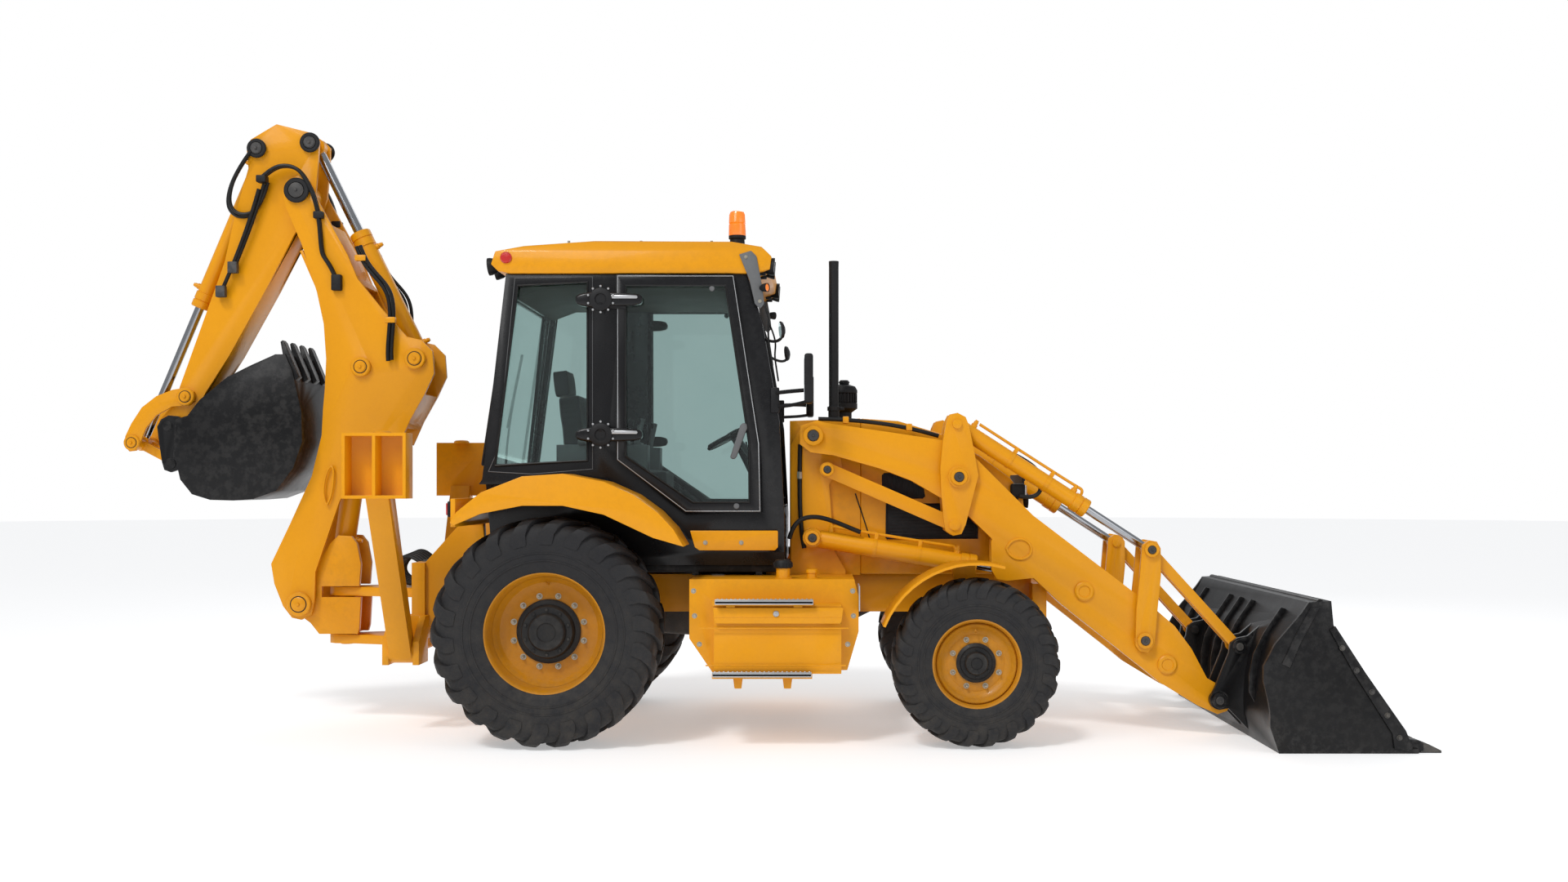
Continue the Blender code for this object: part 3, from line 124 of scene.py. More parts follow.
def buildGroups():
    text, value = "NodeSocketColor", "NodeSocketFloat"
    groups = {}
    # cloudy tone: slow and fine changes of colour over a surface
    tree, inn, out = newGroup("cloudyTone", [("Color", text, (0.8, 0.8, 0.8, 1)), ("Second", text, (0.6, 0.6, 0.6, 1)), ("Scale", value, 3.0),
                                             ("Amount", value, 0.3)], [("Color", text), ("Cloud", value)])
    place = tree.nodes.new("ShaderNodeTexCoord")
    slow, fine = noiseNode(tree, 3, 5), noiseNode(tree, 60, 3)
    for node in (slow, fine):
        tree.links.new(place.outputs["Object"], node.inputs["Vector"])
    tree.links.new(inn.outputs["Scale"], slow.inputs["Scale"])
    cloud = mathNode(tree, "ADD", mathNode(tree, "MULTIPLY", rampNode(tree, slow.outputs["Fac"], 0.35, 0.7), 0.75),
                     mathNode(tree, "MULTIPLY", rampNode(tree, fine.outputs["Fac"], 0.4, 0.7), 0.25), True)
    mix = tree.nodes.new("ShaderNodeMix")
    mix.data_type = "RGBA"
    tree.links.new(mathNode(tree, "MULTIPLY", cloud, inn.outputs["Amount"]), mix.inputs["Factor"])
    tree.links.new(inn.outputs["Color"], mix.inputs["A"])
    tree.links.new(inn.outputs["Second"], mix.inputs["B"])
    tree.links.new(mix.outputs["Result"], out.inputs["Color"])
    tree.links.new(cloud, out.inputs["Cloud"])
    groups["cloudyTone"] = tree
    # road dust: thicker low down and on faces that look up
    tree, inn, out = newGroup("roadDust", [("Color", text, (0.8, 0.8, 0.8, 1)), ("Dust", text, (0.30, 0.25, 0.18, 1)), ("Top", value, 0.9),
                                           ("Amount", value, 0.3)], [("Color", text), ("Mask", value)])
    place, shape = tree.nodes.new("ShaderNodeTexCoord"), tree.nodes.new("ShaderNodeNewGeometry")
    grit, split, facing = noiseNode(tree, 14, 8, 0.7), tree.nodes.new("ShaderNodeSeparateXYZ"), tree.nodes.new("ShaderNodeSeparateXYZ")
    tree.links.new(place.outputs["Object"], grit.inputs["Vector"])
    tree.links.new(place.outputs["Object"], split.inputs[0])
    tree.links.new(shape.outputs["Normal"], facing.inputs[0])
    low = mathNode(tree, "DIVIDE", mathNode(tree, "SUBTRACT", inn.outputs["Top"], split.outputs["Z"]), inn.outputs["Top"], True)
    upward = mathNode(tree, "MULTIPLY", mathNode(tree, "MAXIMUM", facing.outputs["Z"], 0.0), 0.45)
    spread = mathNode(tree, "ADD", low, upward, True)
    mask = mathNode(tree, "MULTIPLY", mathNode(tree, "MULTIPLY", spread, rampNode(tree, grit.outputs["Fac"], 0.38, 0.66)), inn.outputs["Amount"],
        True)
    mix = tree.nodes.new("ShaderNodeMix")
    mix.data_type = "RGBA"
    tree.links.new(mask, mix.inputs["Factor"])
    tree.links.new(inn.outputs["Color"], mix.inputs["A"])
    tree.links.new(inn.outputs["Dust"], mix.inputs["B"])
    tree.links.new(mix.outputs["Result"], out.inputs["Color"])
    tree.links.new(mask, out.inputs["Mask"])
    groups["roadDust"] = tree
    # edge rub: bare or darker material on convex edges
    tree, inn, out = newGroup("edgeRub", [("Color", text, (0.8, 0.8, 0.8, 1)), ("Under", text, (0.2, 0.2, 0.2, 1)), ("Amount", value, 0.5)],
                              [("Color", text), ("Mask", value)])
    place, shape = tree.nodes.new("ShaderNodeTexCoord"), tree.nodes.new("ShaderNodeNewGeometry")
    patch = noiseNode(tree, 22, 6, 0.65)
    tree.links.new(place.outputs["Object"], patch.inputs["Vector"])
    edge = rampNode(tree, shape.outputs["Pointiness"], 0.515, 0.58)
    mask = mathNode(tree, "MULTIPLY", mathNode(tree, "MULTIPLY", edge, rampNode(tree, patch.outputs["Fac"], 0.45, 0.6)), inn.outputs["Amount"], True)
    mix = tree.nodes.new("ShaderNodeMix")
    mix.data_type = "RGBA"
    tree.links.new(mask, mix.inputs["Factor"])
    tree.links.new(inn.outputs["Color"], mix.inputs["A"])
    tree.links.new(inn.outputs["Under"], mix.inputs["B"])
    tree.links.new(mix.outputs["Result"], out.inputs["Color"])
    tree.links.new(mask, out.inputs["Mask"])
    groups["edgeRub"] = tree
    # grain: fine height for cast, moulded and sprayed surfaces, and a change of gloss
    tree, inn, out = newGroup("surfaceGrain", [("Scale", value, 120.0), ("Gloss", value, 0.4), ("Spread", value, 0.1)],
                              [("Height", value), ("Roughness", value)])
    place = tree.nodes.new("ShaderNodeTexCoord")
    grain, smear = noiseNode(tree, 120, 4), noiseNode(tree, 6, 6, 0.6)
    tree.links.new(place.outputs["Object"], grain.inputs["Vector"])
    tree.links.new(place.outputs["Object"], smear.inputs["Vector"])
    tree.links.new(inn.outputs["Scale"], grain.inputs["Scale"])
    tree.links.new(grain.outputs["Fac"], out.inputs["Height"])
    shift = mathNode(tree, "MULTIPLY", mathNode(tree, "SUBTRACT", smear.outputs["Fac"], 0.5), inn.outputs["Spread"])
    tree.links.new(mathNode(tree, "ADD", inn.outputs["Gloss"], shift, True), out.inputs["Roughness"])
    groups["surfaceGrain"] = tree
    # weave: two crossing sets of threads, seen from every side of a cushion
    tree, inn, out = newGroup("clothWeave", [("Scale", value, 260.0)], [("Height", value), ("Thread", value)])
    place, bands = tree.nodes.new("ShaderNodeTexCoord"), []
    for direction in ("X", "Y", "Z"):
        wave = tree.nodes.new("ShaderNodeTexWave")
        wave.wave_type, wave.bands_direction = "BANDS", direction
        wave.inputs["Distortion"].default_value = 0.6
        tree.links.new(place.outputs["Object"], wave.inputs["Vector"])
        tree.links.new(inn.outputs["Scale"], wave.inputs["Scale"])
        bands.append(wave.outputs["Fac"])
    cross = mathNode(tree, "MAXIMUM", mathNode(tree, "MULTIPLY", bands[0], bands[1]), mathNode(tree, "MULTIPLY", bands[1], bands[2]))
    tree.links.new(cross, out.inputs["Height"])
    tree.links.new(cross, out.inputs["Thread"])
    groups["clothWeave"] = tree
    return groups


# materials: every finish on the machine, with the values a user would change
finishes = {
    "headLiner": {"color": (0.035, 0.042, 0.030), "second": (0.050, 0.056, 0.042), "gloss": 0.70, "coat": 0.0, "shine": 0.2, "dust": 0.0, "wear": 0.0,
                  "under": (0.08, 0.08, 0.07), "grain": 500, "bump": 0.10},
    "machineYellow": {"color": (0.78, 0.325, 0.004), "second": (0.70, 0.280, 0.004), "gloss": 0.36, "coat": 0.14, "shine": 0.22, "dust": 0.04,
        "wear": 0.14,
                      "under": (0.30, 0.13, 0.02), "grain": 90, "bump": 0.03},
    # rim paint: a darker yellow than the body, its darkness partly real dirt and partly painted shade from inside the
    # rims
    "rimYellowDirtAndShade": {"color": (0.56, 0.225, 0.004), "second": (0.34, 0.130, 0.006), "gloss": 0.40, "coat": 0.10, "shine": 0.22, "dust": 0.14,
        "wear": 0.18,
                  "under": (0.25, 0.12, 0.03), "grain": 110, "bump": 0.04},
    "cabBlack": {"color": (0.006, 0.006, 0.007), "second": (0.010, 0.010, 0.011), "gloss": 0.28, "coat": 0.12, "shine": 0.26, "dust": 0.03,
        "wear": 0.10,
                 "under": (0.09, 0.09, 0.09), "grain": 140, "bump": 0.03},
    "bucketBlack": {"color": (0.004, 0.004, 0.0045), "second": (0.008, 0.008, 0.009), "gloss": 0.36, "coat": 0.05, "shine": 0.22, "dust": 0.012,
        "wear": 0.16,
                    "under": (0.20, 0.19, 0.18), "grain": 80, "bump": 0.06},
    "frameBlack": {"color": (0.008, 0.008, 0.009), "second": (0.015, 0.015, 0.015), "gloss": 0.50, "coat": 0.02, "shine": 0.25, "dust": 0.06,
        "wear": 0.20,
                   "under": (0.12, 0.11, 0.10), "grain": 70, "bump": 0.10},
    "mouldedBlack": {"color": (0.007, 0.007, 0.008), "second": (0.013, 0.013, 0.014), "gloss": 0.52, "coat": 0.0, "shine": 0.25, "dust": 0.03,
        "wear": 0.08,
                     "under": (0.07, 0.07, 0.07), "grain": 420, "bump": 0.14},
    "mouldedGrey": {"color": (0.10, 0.105, 0.11), "second": (0.14, 0.14, 0.14), "gloss": 0.55, "coat": 0.0, "dust": 0.10, "wear": 0.10,
                    "under": (0.22, 0.22, 0.22), "grain": 380, "bump": 0.12},
    "tyreRubber": {"color": (0.014, 0.014, 0.016), "second": (0.026, 0.026, 0.027), "gloss": 0.62, "coat": 0.0, "shine": 0.25, "dust": 0.08,
        "wear": 0.20,
                   "under": (0.05, 0.05, 0.048), "grain": 160, "bump": 0.16},
    "hoseRubber": {"color": (0.006, 0.006, 0.006), "second": (0.011, 0.011, 0.011), "gloss": 0.42, "coat": 0.0, "shine": 0.28, "dust": 0.03,
        "wear": 0.10,
                   "under": (0.05, 0.05, 0.05), "grain": 500, "bump": 0.10},
    "castIron": {"color": (0.030, 0.030, 0.031), "second": (0.045, 0.043, 0.041), "gloss": 0.58, "coat": 0.0, "dust": 0.18, "wear": 0.25,
                 "under": (0.18, 0.16, 0.14), "grain": 130, "bump": 0.25},
    "zincSteel": {"color": (0.55, 0.56, 0.57), "second": (0.40, 0.40, 0.41), "gloss": 0.36, "coat": 0.0, "dust": 0.18, "wear": 0.1,
                  "under": (0.75, 0.75, 0.75), "grain": 60, "bump": 0.06, "metal": 0.9},
    "chromeRod": {"color": (0.40, 0.41, 0.43), "second": (0.32, 0.33, 0.35), "gloss": 0.16, "coat": 0.0, "dust": 0.03, "wear": 0.0,
                  "under": (0.9, 0.9, 0.9), "grain": 300, "bump": 0.005, "metal": 1.0},
    "boltZinc": {"color": (0.46, 0.43, 0.36), "second": (0.30, 0.27, 0.20), "gloss": 0.40, "coat": 0.0, "dust": 0.25, "wear": 0.2,
                 "under": (0.7, 0.68, 0.6), "grain": 200, "bump": 0.05, "metal": 0.85},
    "orangeLens": {"color": (0.85, 0.18, 0.01), "second": (0.95, 0.28, 0.02), "gloss": 0.14, "coat": 0.6, "dust": 0.0, "wear": 0.0,
                   "under": (0.9, 0.4, 0.1), "grain": 260, "bump": 0.10, "glow": 0.35},
    "redLens": {"color": (0.45, 0.012, 0.010), "second": (0.60, 0.02, 0.015), "gloss": 0.15, "coat": 0.6, "dust": 0.0, "wear": 0.0,
                "under": (0.6, 0.1, 0.1), "grain": 260, "bump": 0.10, "glow": 0.1},
    "lampGlass": {"color": (0.78, 0.80, 0.82), "second": (0.62, 0.64, 0.66), "gloss": 0.10, "coat": 0.8, "dust": 0.0, "wear": 0.0,
                  "under": (0.9, 0.9, 0.9), "grain": 180, "bump": 0.22, "metal": 0.35},
    "mirrorGlass": {"color": (0.75, 0.78, 0.80), "second": (0.70, 0.73, 0.75), "gloss": 0.03, "coat": 0.0, "dust": 0.02, "wear": 0.0,
                    "under": (0.9, 0.9, 0.9), "grain": 20, "bump": 0.002, "metal": 1.0},
    "seatCloth": {"color": (0.030, 0.031, 0.034), "second": (0.055, 0.056, 0.060), "gloss": 0.90, "coat": 0.0, "dust": 0.08, "wear": 0.15,
                  "under": (0.10, 0.10, 0.10), "grain": 420, "bump": 0.30, "weave": 220},
}
glassFinish = {"color": (0.78, 0.93, 0.90), "roughness": 0.02, "ior": 1.45}


def makeMaterial(name, values, groups):
    material = bpy.data.materials.new(name)
    material.use_nodes = True
    tree = material.node_tree
    shader = tree.nodes["Principled BSDF"]
    tone, dust, rub, grain = (tree.nodes.new("ShaderNodeGroup") for _ in range(4))
    tone.node_tree, dust.node_tree, rub.node_tree, grain.node_tree = (groups[key] for key in ("cloudyTone", "roadDust", "edgeRub", "surfaceGrain"))
    tone.inputs["Color"].default_value = (*values["color"], 1)
    tone.inputs["Second"].default_value = (*values["second"], 1)
    tone.inputs["Scale"].default_value = 2.2
    tone.inputs["Amount"].default_value = 0.7
    rub.inputs["Under"].default_value = (*values["under"], 1)
    rub.inputs["Amount"].default_value = values["wear"]
    dust.inputs["Amount"].default_value = values["dust"]
    dust.inputs["Top"].default_value = 1.3
    grain.inputs["Scale"].default_value = values["grain"]
    grain.inputs["Gloss"].default_value = values["gloss"]
    grain.inputs["Spread"].default_value = 0.22
    shader.inputs["Specular IOR Level"].default_value = values.get("shine", 0.5)
    tree.links.new(tone.outputs["Color"], rub.inputs["Color"])
    tree.links.new(rub.outputs["Color"], dust.inputs["Color"])
    tree.links.new(dust.outputs["Color"], shader.inputs["Base Color"])
    rough = mathNode(tree, "ADD", grain.outputs["Roughness"], mathNode(tree, "MULTIPLY", dust.outputs["Mask"], 0.5), True)
    tree.links.new(rough, shader.inputs["Roughness"])
    bump = tree.nodes.new("ShaderNodeBump")
    bump.inputs["Strength"].default_value = values["bump"]
    bump.inputs["Distance"].default_value = 0.01
    height = grain.outputs["Height"]
    if "weave" in values:
        weave = tree.nodes.new("ShaderNodeGroup")
        weave.node_tree = groups["clothWeave"]
        weave.inputs["Scale"].default_value = values["weave"]
        height = mathNode(tree, "ADD", weave.outputs["Height"], mathNode(tree, "MULTIPLY", grain.outputs["Height"], 0.4))
        shader.inputs["Sheen Weight"].default_value = 0.35
        shader.inputs["Sheen Roughness"].default_value = 0.5
    tree.links.new(height, bump.inputs["Height"])
    tree.links.new(bump.outputs["Normal"], shader.inputs["Normal"])
    shader.inputs["Metallic"].default_value = values.get("metal", 0.0)
    shader.inputs["Coat Weight"].default_value = values["coat"]
    shader.inputs["Coat Roughness"].default_value = 0.08
    if "glow" in values:
        tree.links.new(tone.outputs["Color"], shader.inputs["Emission Color"])
        shader.inputs["Emission Strength"].default_value = values["glow"]
    return material


def makeGlass(groups):
    material = bpy.data.materials.new("tintedGlass")
    material.use_nodes = True
    tree = material.node_tree
    shader = tree.nodes["Principled BSDF"]
    shader.inputs["Transmission Weight"].default_value = 1.0
    shader.inputs["IOR"].default_value = glassFinish["ior"]
    dust, grain = tree.nodes.new("ShaderNodeGroup"), tree.nodes.new("ShaderNodeGroup")
    dust.node_tree, grain.node_tree = groups["cloudyTone"], groups["surfaceGrain"]
    dust.inputs["Color"].default_value = (*glassFinish["color"], 1)
    dust.inputs["Second"].default_value = (0.70, 0.87, 0.84, 1)
    dust.inputs["Amount"].default_value = 0.4
    grain.inputs["Gloss"].default_value = glassFinish["roughness"]
    grain.inputs["Spread"].default_value = 0.03
    tree.links.new(dust.outputs["Color"], shader.inputs["Base Color"])
    tree.links.new(grain.outputs["Roughness"], shader.inputs["Roughness"])
    return material


materials = {}


def buildMaterials():
    groups = buildGroups()
    for name, values in finishes.items():
        materials[name] = makeMaterial(name, values, groups)
    materials["tintedGlass"] = makeGlass(groups)


# modelling tools
def deselect():
    bpy.ops.object.select_all(action="DESELECT")


def only(piece):
    deselect()
    piece.select_set(True)
    bpy.context.view_layer.objects.active = piece


def settle(piece):
    only(piece)
    bpy.ops.object.transform_apply(location=True, rotation=True, scale=True)
    return piece


def roundEdges(piece, width, segments=2, angle=32):
    only(piece)
    modifier = piece.modifiers.new("edge", "BEVEL")
    modifier.width, modifier.segments, modifier.limit_method = width, segments, "ANGLE"
    modifier.angle_limit = math.radians(angle)
    modifier.use_clamp_overlap = True
    modifier.harden_normals = False
    bpy.ops.object.modifier_apply(modifier="edge")
    return piece


def smooth(piece, angle=34):
    only(piece)
    bpy.ops.object.shade_smooth_by_angle(angle=math.radians(angle))
    return piece


def ready(piece, name, body, finish, replaced=()):
    smooth(piece)
    piece.name = piece.data.name = name
    piece.data.materials.clear()
    piece.data.materials.append(materials[finish])
    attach(piece, body)
    if replaced:
        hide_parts(*replaced)
    return piece


def joined(pieces):
    deselect()
    for piece in pieces:
        piece.select_set(True)
    bpy.context.view_layer.objects.active = pieces[0]
    if len(pieces) > 1:
        bpy.ops.object.join()
    return bpy.context.view_layer.objects.active


def plate(outline, low, high, facing="Y", bevel=0.004, segments=2):
    # a flat outline, filled and pushed through to its thickness
    deselect()
    bpy.ops.mesh.primitive_circle_add(vertices=len(outline), radius=1, fill_type="NGON")
    piece = bpy.context.object
    for vertex, (a, b) in zip(piece.data.vertices, outline):
        vertex.co = {"Y": (a, low, b), "Z": (a, b, low), "X": (low, a, b)}[facing]
    bpy.ops.object.mode_set(mode="EDIT")
    bpy.ops.mesh.select_all(action="SELECT")
    push = high - low
    step = {"Y": (0, push, 0), "Z": (0, 0, push), "X": (push, 0, 0)}[facing]
    bpy.ops.mesh.extrude_region_move(TRANSFORM_OT_translate={"value": step})
    bpy.ops.mesh.select_all(action="SELECT")
    bpy.ops.mesh.normals_make_consistent(inside=False)
    bpy.ops.object.mode_set(mode="OBJECT")
    return roundEdges(piece, bevel, segments) if bevel else piece


def block(low, high, bevel=0.004, segments=2):
    deselect()
    middle = [(a + b) / 2 for a, b in zip(low, high)]
    bpy.ops.mesh.primitive_cube_add(size=1, location=middle)
    piece = bpy.context.object
    piece.scale = [abs(b - a) for a, b in zip(low, high)]
    settle(piece)
    return roundEdges(piece, bevel, segments) if bevel else piece


def spun(profile, middle, steps=48, closed=True):
    # profile: (y, radius) pairs round the line through middle = (x, z)
    deselect()
    x, z = middle
    bpy.ops.mesh.primitive_circle_add(vertices=len(profile), radius=1, fill_type="NOTHING")
    piece = bpy.context.object
    for vertex, (y, r) in zip(piece.data.vertices, profile):
        vertex.co = (x, y, z + r)
    bpy.ops.object.mode_set(mode="EDIT")
    bpy.ops.mesh.select_all(action="SELECT")
    bpy.ops.mesh.spin(steps=steps, angle=2 * math.pi, center=(x, 0, z), axis=(0, 1, 0))
    bpy.ops.mesh.select_all(action="SELECT")
    bpy.ops.mesh.remove_doubles(threshold=0.00002)
    bpy.ops.mesh.dissolve_degenerate(threshold=0.00001)
    bpy.ops.mesh.delete_loose()
    bpy.ops.mesh.select_all(action="SELECT")
    bpy.ops.mesh.normals_make_consistent(inside=False)
    bpy.ops.object.mode_set(mode="OBJECT")
    return piece


def lay(piece, start, end):
    # turns a piece made along +Y from the origin so that it runs from start towards end
    way = (Vector(end) - Vector(start)).normalized()
    piece.data.transform(Matrix.Translation(Vector(start)) @ Vector((0, 1, 0)).rotation_difference(way).to_matrix().to_4x4())
    return piece


def turned(start, end, sections, steps=32):
    # sections: (distance from start, radius), closed to the axis at both ends
    profile = [(sections[0][0], 0.0)] + list(sections) + [(sections[-1][0], 0.0)]
    return lay(spun(profile, (0, 0), steps), start, end)


def pinHead(at, y0, y1, radius, chamfer=0.006, steps=28):
    # a round boss or pin end, across the machine
    c = math.copysign(min(chamfer, abs(y1 - y0) * 0.4), y1 - y0)
    return spun([(y0, 0.0), (y0, radius), (y1 - c, radius), (y1, radius - abs(c)), (y1, 0.0)], at, steps)


def copyOf(piece, matrix=None):
    twin = piece.copy()
    twin.data = piece.data.copy()
    bpy.context.scene.collection.objects.link(twin)
    if matrix is not None:
        twin.data.transform(matrix)
    return twin


def bolt(at, way, size=0.012, washer=True):
    # hexagon head on a washer, standing on a face at this point
    deselect()
    bpy.ops.mesh.primitive_cylinder_add(vertices=6, radius=size, depth=size * 0.8, location=(0, 0, 0))
    head = bpy.context.object
    head.data.transform(Matrix.Translation((0, 0, size * 0.62)))
    roundEdges(head, size * 0.14, 1)
    parts = [head]
    if washer:
        bpy.ops.object.select_all(action="DESELECT")
        bpy.ops.mesh.primitive_cylinder_add(vertices=20, radius=size * 1.35, depth=size * 0.25, location=(0, 0, 0))
        ring = bpy.context.object
        ring.data.transform(Matrix.Translation((0, 0, size * 0.12)))
        parts.append(ring)
    whole = joined(parts)
    turn = Vector((0, 0, 1)).rotation_difference(Vector(way)).to_matrix().to_4x4()
    whole.data.transform(Matrix.Translation(Vector(at)) @ turn)
    return whole


def bolts(places, way, size=0.012, washer=True):
    first = bolt((0, 0, 0), way, size, washer)
    row = [copyOf(first, Matrix.Translation(Vector(p))) for p in places]
    bpy.data.objects.remove(first)
    return joined(row)


def hose(points, radius, sides=3, soft=True):
    # a bent tube along a smooth line, capped at each end
    line = bpy.data.curves.new("hose", "CURVE")
    line.dimensions, line.bevel_depth, line.bevel_resolution, line.use_fill_caps = "3D", radius, sides, True
    if soft:
        spline = line.splines.new("NURBS")
        spline.points.add(len(points) - 1)
        for target, p in zip(spline.points, points):
            target.co = (*p, 1)
        spline.use_endpoint_u, spline.order_u, spline.resolution_u = True, 4, 6
    else:
        spline = line.splines.new("POLY")
        spline.points.add(len(points) - 1)
        for target, p in zip(spline.points, points):
            target.co = (*p, 1)
    piece = bpy.data.objects.new("hose", line)
    bpy.context.scene.collection.objects.link(piece)
    only(piece)
    bpy.ops.object.convert(target="MESH")
    return bpy.context.object


def fromNode(node, bevel=0.004, segments=2, angle=38):
    # the CAD shape with its triangles merged into whole faces and its edges eased
    twin = copyOf(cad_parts[node])
    twin.parent = None
    twin.matrix_world = Matrix.Identity(4)
    only(twin)
    bpy.ops.object.mode_set(mode="EDIT")
    bpy.ops.mesh.select_all(action="SELECT")
    bpy.ops.mesh.remove_doubles(threshold=0.0001)
    bpy.ops.mesh.dissolve_limited(angle_limit=math.radians(0.8))
    bpy.ops.mesh.select_all(action="SELECT")
    bpy.ops.mesh.normals_make_consistent(inside=False)
    bpy.ops.object.mode_set(mode="OBJECT")
    return roundEdges(twin, bevel, segments, angle) if bevel else twin


# wheels
rearWheel = {"middle": (-1.112, 0.657), "track": 0.89, "half": 0.23, "outer": 0.657, "rim": 0.3445, "hub": 0.186, "hubOut": 0.132, "face": 0.030,
             "boltRing": 0.208, "bolts": 12, "boltSize": 0.013, "lugs": 22, "lugHeight": 0.030, "lugWidth": 0.078, "lean": 15, "reach": 0.95}
frontWheel = {"middle": (1.333, 0.483), "track": 0.925, "half": 0.16, "outer": 0.483, "rim": 0.2515, "hub": 0.115, "hubOut": 0.122, "face": 0.055,
              "boltRing": 0.142, "bolts": 8, "boltSize": 0.012, "lugs": 22, "lugHeight": 0.020, "lugWidth": 0.054, "lean": 13, "reach": 0.93}
carcass = [(-0.84, 0.0), (-0.88, 0.03), (-0.90, 0.10), (-0.935, 0.16), (-0.945, 0.19), (-0.955, 0.22), (-0.985, 0.36), (-1.0, 0.50), (-0.985, 0.63),
           (-0.95, 0.74), (-0.89, 0.825), (-0.78, 0.875), (-0.55, 0.90), (-0.25, 0.915), (0.0, 0.918)]


def onCarcass(t, wheel):
    # t runs from the middle of the tread, 0, out over the shoulder and down the side, 1
    path = carcass[7:][::-1]
    spot = t * (len(path) - 1)
    i = min(int(spot), len(path) - 2)
    (a0, b0), (a1, b1) = path[i], path[i + 1]
    k = spot - i
    depth = wheel["outer"] - wheel["rim"]
    return -(a0 + (a1 - a0) * k) * wheel["half"], wheel["rim"] + (b0 + (b1 - b0) * k) * depth


def tyreLug(wheel, side):
    # one bar of the tread: a strip laid on the tyre, then raised
    deselect()
    along, wide = 9, 3
    bpy.ops.mesh.primitive_grid_add(x_subdivisions=along - 1, y_subdivisions=wide - 1, size=1)
    lug = bpy.context.object
    for index, vertex in enumerate(lug.data.vertices):
        row, column = index % along, index // along
        t = 0.02 + wheel["reach"] * (row / (along - 1)) ** 0.85
        y, r = onCarcass(t, wheel)
        lean = math.radians(wheel["lean"]) * min(t * 1.25, 1.0) ** 0.8
        width = wheel["lugWidth"] * (0.86 + 0.30 * t - (0.22 if row == along - 1 else 0)) / r
        turn = lean + (column / (wide - 1) - 0.5) * width
        r -= 0.004
        vertex.co = (r * math.sin(turn), side * y, r * math.cos(turn))
    bpy.ops.object.mode_set(mode="EDIT")
    bpy.ops.mesh.select_all(action="SELECT")
    bpy.ops.mesh.normals_make_consistent(inside=False)
    bpy.ops.object.mode_set(mode="OBJECT")
    face = max(lug.data.polygons, key=lambda p: p.center.z)
    if face.normal.dot(Vector((face.center.x, 0, face.center.z))) < 0:
        lug.data.flip_normals()
    only(lug)
    thick = lug.modifiers.new("height", "SOLIDIFY")
    thick.thickness, thick.offset = wheel["lugHeight"] + 0.002, 1
    bpy.ops.object.modifier_apply(modifier="height")
    roundEdges(lug, wheel["lugHeight"] * 0.22, 2, 40)
    low = (wheel["outer"] - 0.0005)
    for vertex in lug.data.vertices:
        r = math.hypot(vertex.co.x, vertex.co.z)
        if r > low:
            vertex.co.x *= low / r
            vertex.co.z *= low / r
        vertex.co.y = max(-wheel["half"] - 0.004, min(wheel["half"] + 0.004, vertex.co.y))
    return lug


def makeTyre(wheel):
    depth = wheel["outer"] - wheel["rim"]
    ring = [(a * wheel["half"], wheel["rim"] + 0.0005 + b * (depth - 0.0005)) for a, b in carcass]
    ring += [(-y, r) for y, r in ring[:-1][::-1]]
    body = spun(ring, (0, 0), 96)
    pitch = 2 * math.pi / wheel["lugs"]
    parts = [body]
    for side, start in ((1, 0.0), (-1, 0.5)):
        lug = tyreLug(wheel, side)
        for k in range(wheel["lugs"]):
            parts.append(copyOf(lug, Matrix.Rotation((k + start) * pitch, 4, "Y")))
        bpy.data.objects.remove(lug)
    # raised ribs round each side, and the wear bars left blank
    for s in (-1, 1):
        for share, reach in ((0.985, 0.36), (0.958, 0.225)):
            r = wheel["rim"] + reach * depth
            y = s * share * wheel["half"]
            parts.append(spun([(y - s * 0.004, r - 0.006), (y + s * 0.003, r - 0.003), (y + s * 0.003, r + 0.003), (y - s * 0.004, r + 0.006)], (0,
                0), 96))
    return joined(parts)


def makeRim(wheel):
    rim, inner, face = wheel["rim"], wheel["half"] * 0.80, wheel["face"]
    hub = wheel["hub"]
    shape = [(-inner, rim), (-inner + 0.01, rim - 0.004), (-0.03, rim - 0.004), (inner - 0.012, rim - 0.004), (inner - 0.006, rim), (inner + 0.004,
        rim + 0.006),
             (inner + 0.008, rim + 0.002), (inner + 0.006, rim - 0.006), (inner - 0.004, rim - 0.014), (inner - 0.03, rim - 0.020),
             (face + 0.060, rim - 0.028), (face + 0.040, rim - 0.036), (face + 0.010, rim - 0.062), (face + 0.002, hub + 0.050), (face + 0.006,
                 hub + 0.040),
             (face + 0.006, hub - 0.03), (face - 0.03, hub - 0.03), (face - 0.03, hub + 0.03), (face - 0.012, rim - 0.060), (face + 0.012,
                 rim - 0.045),
             (-inner, rim - 0.022)]
    pieces = [spun(shape, (0, 0), 72)]
    # the welded seam ring between the dish and the rim
    pieces.append(spun([(face + 0.030, rim - 0.050), (face + 0.050, rim - 0.036), (face + 0.058, rim - 0.030), (face + 0.040, rim - 0.034)], (0,
        0), 72))
    valve = turned((0, face + 0.02, rim - 0.075), (0.01, face + 0.08, rim - 0.055), [(0, 0.006), (0.03, 0.006), (0.032, 0.004), (0.052, 0.004)], 12)
    return joined(pieces + [valve])


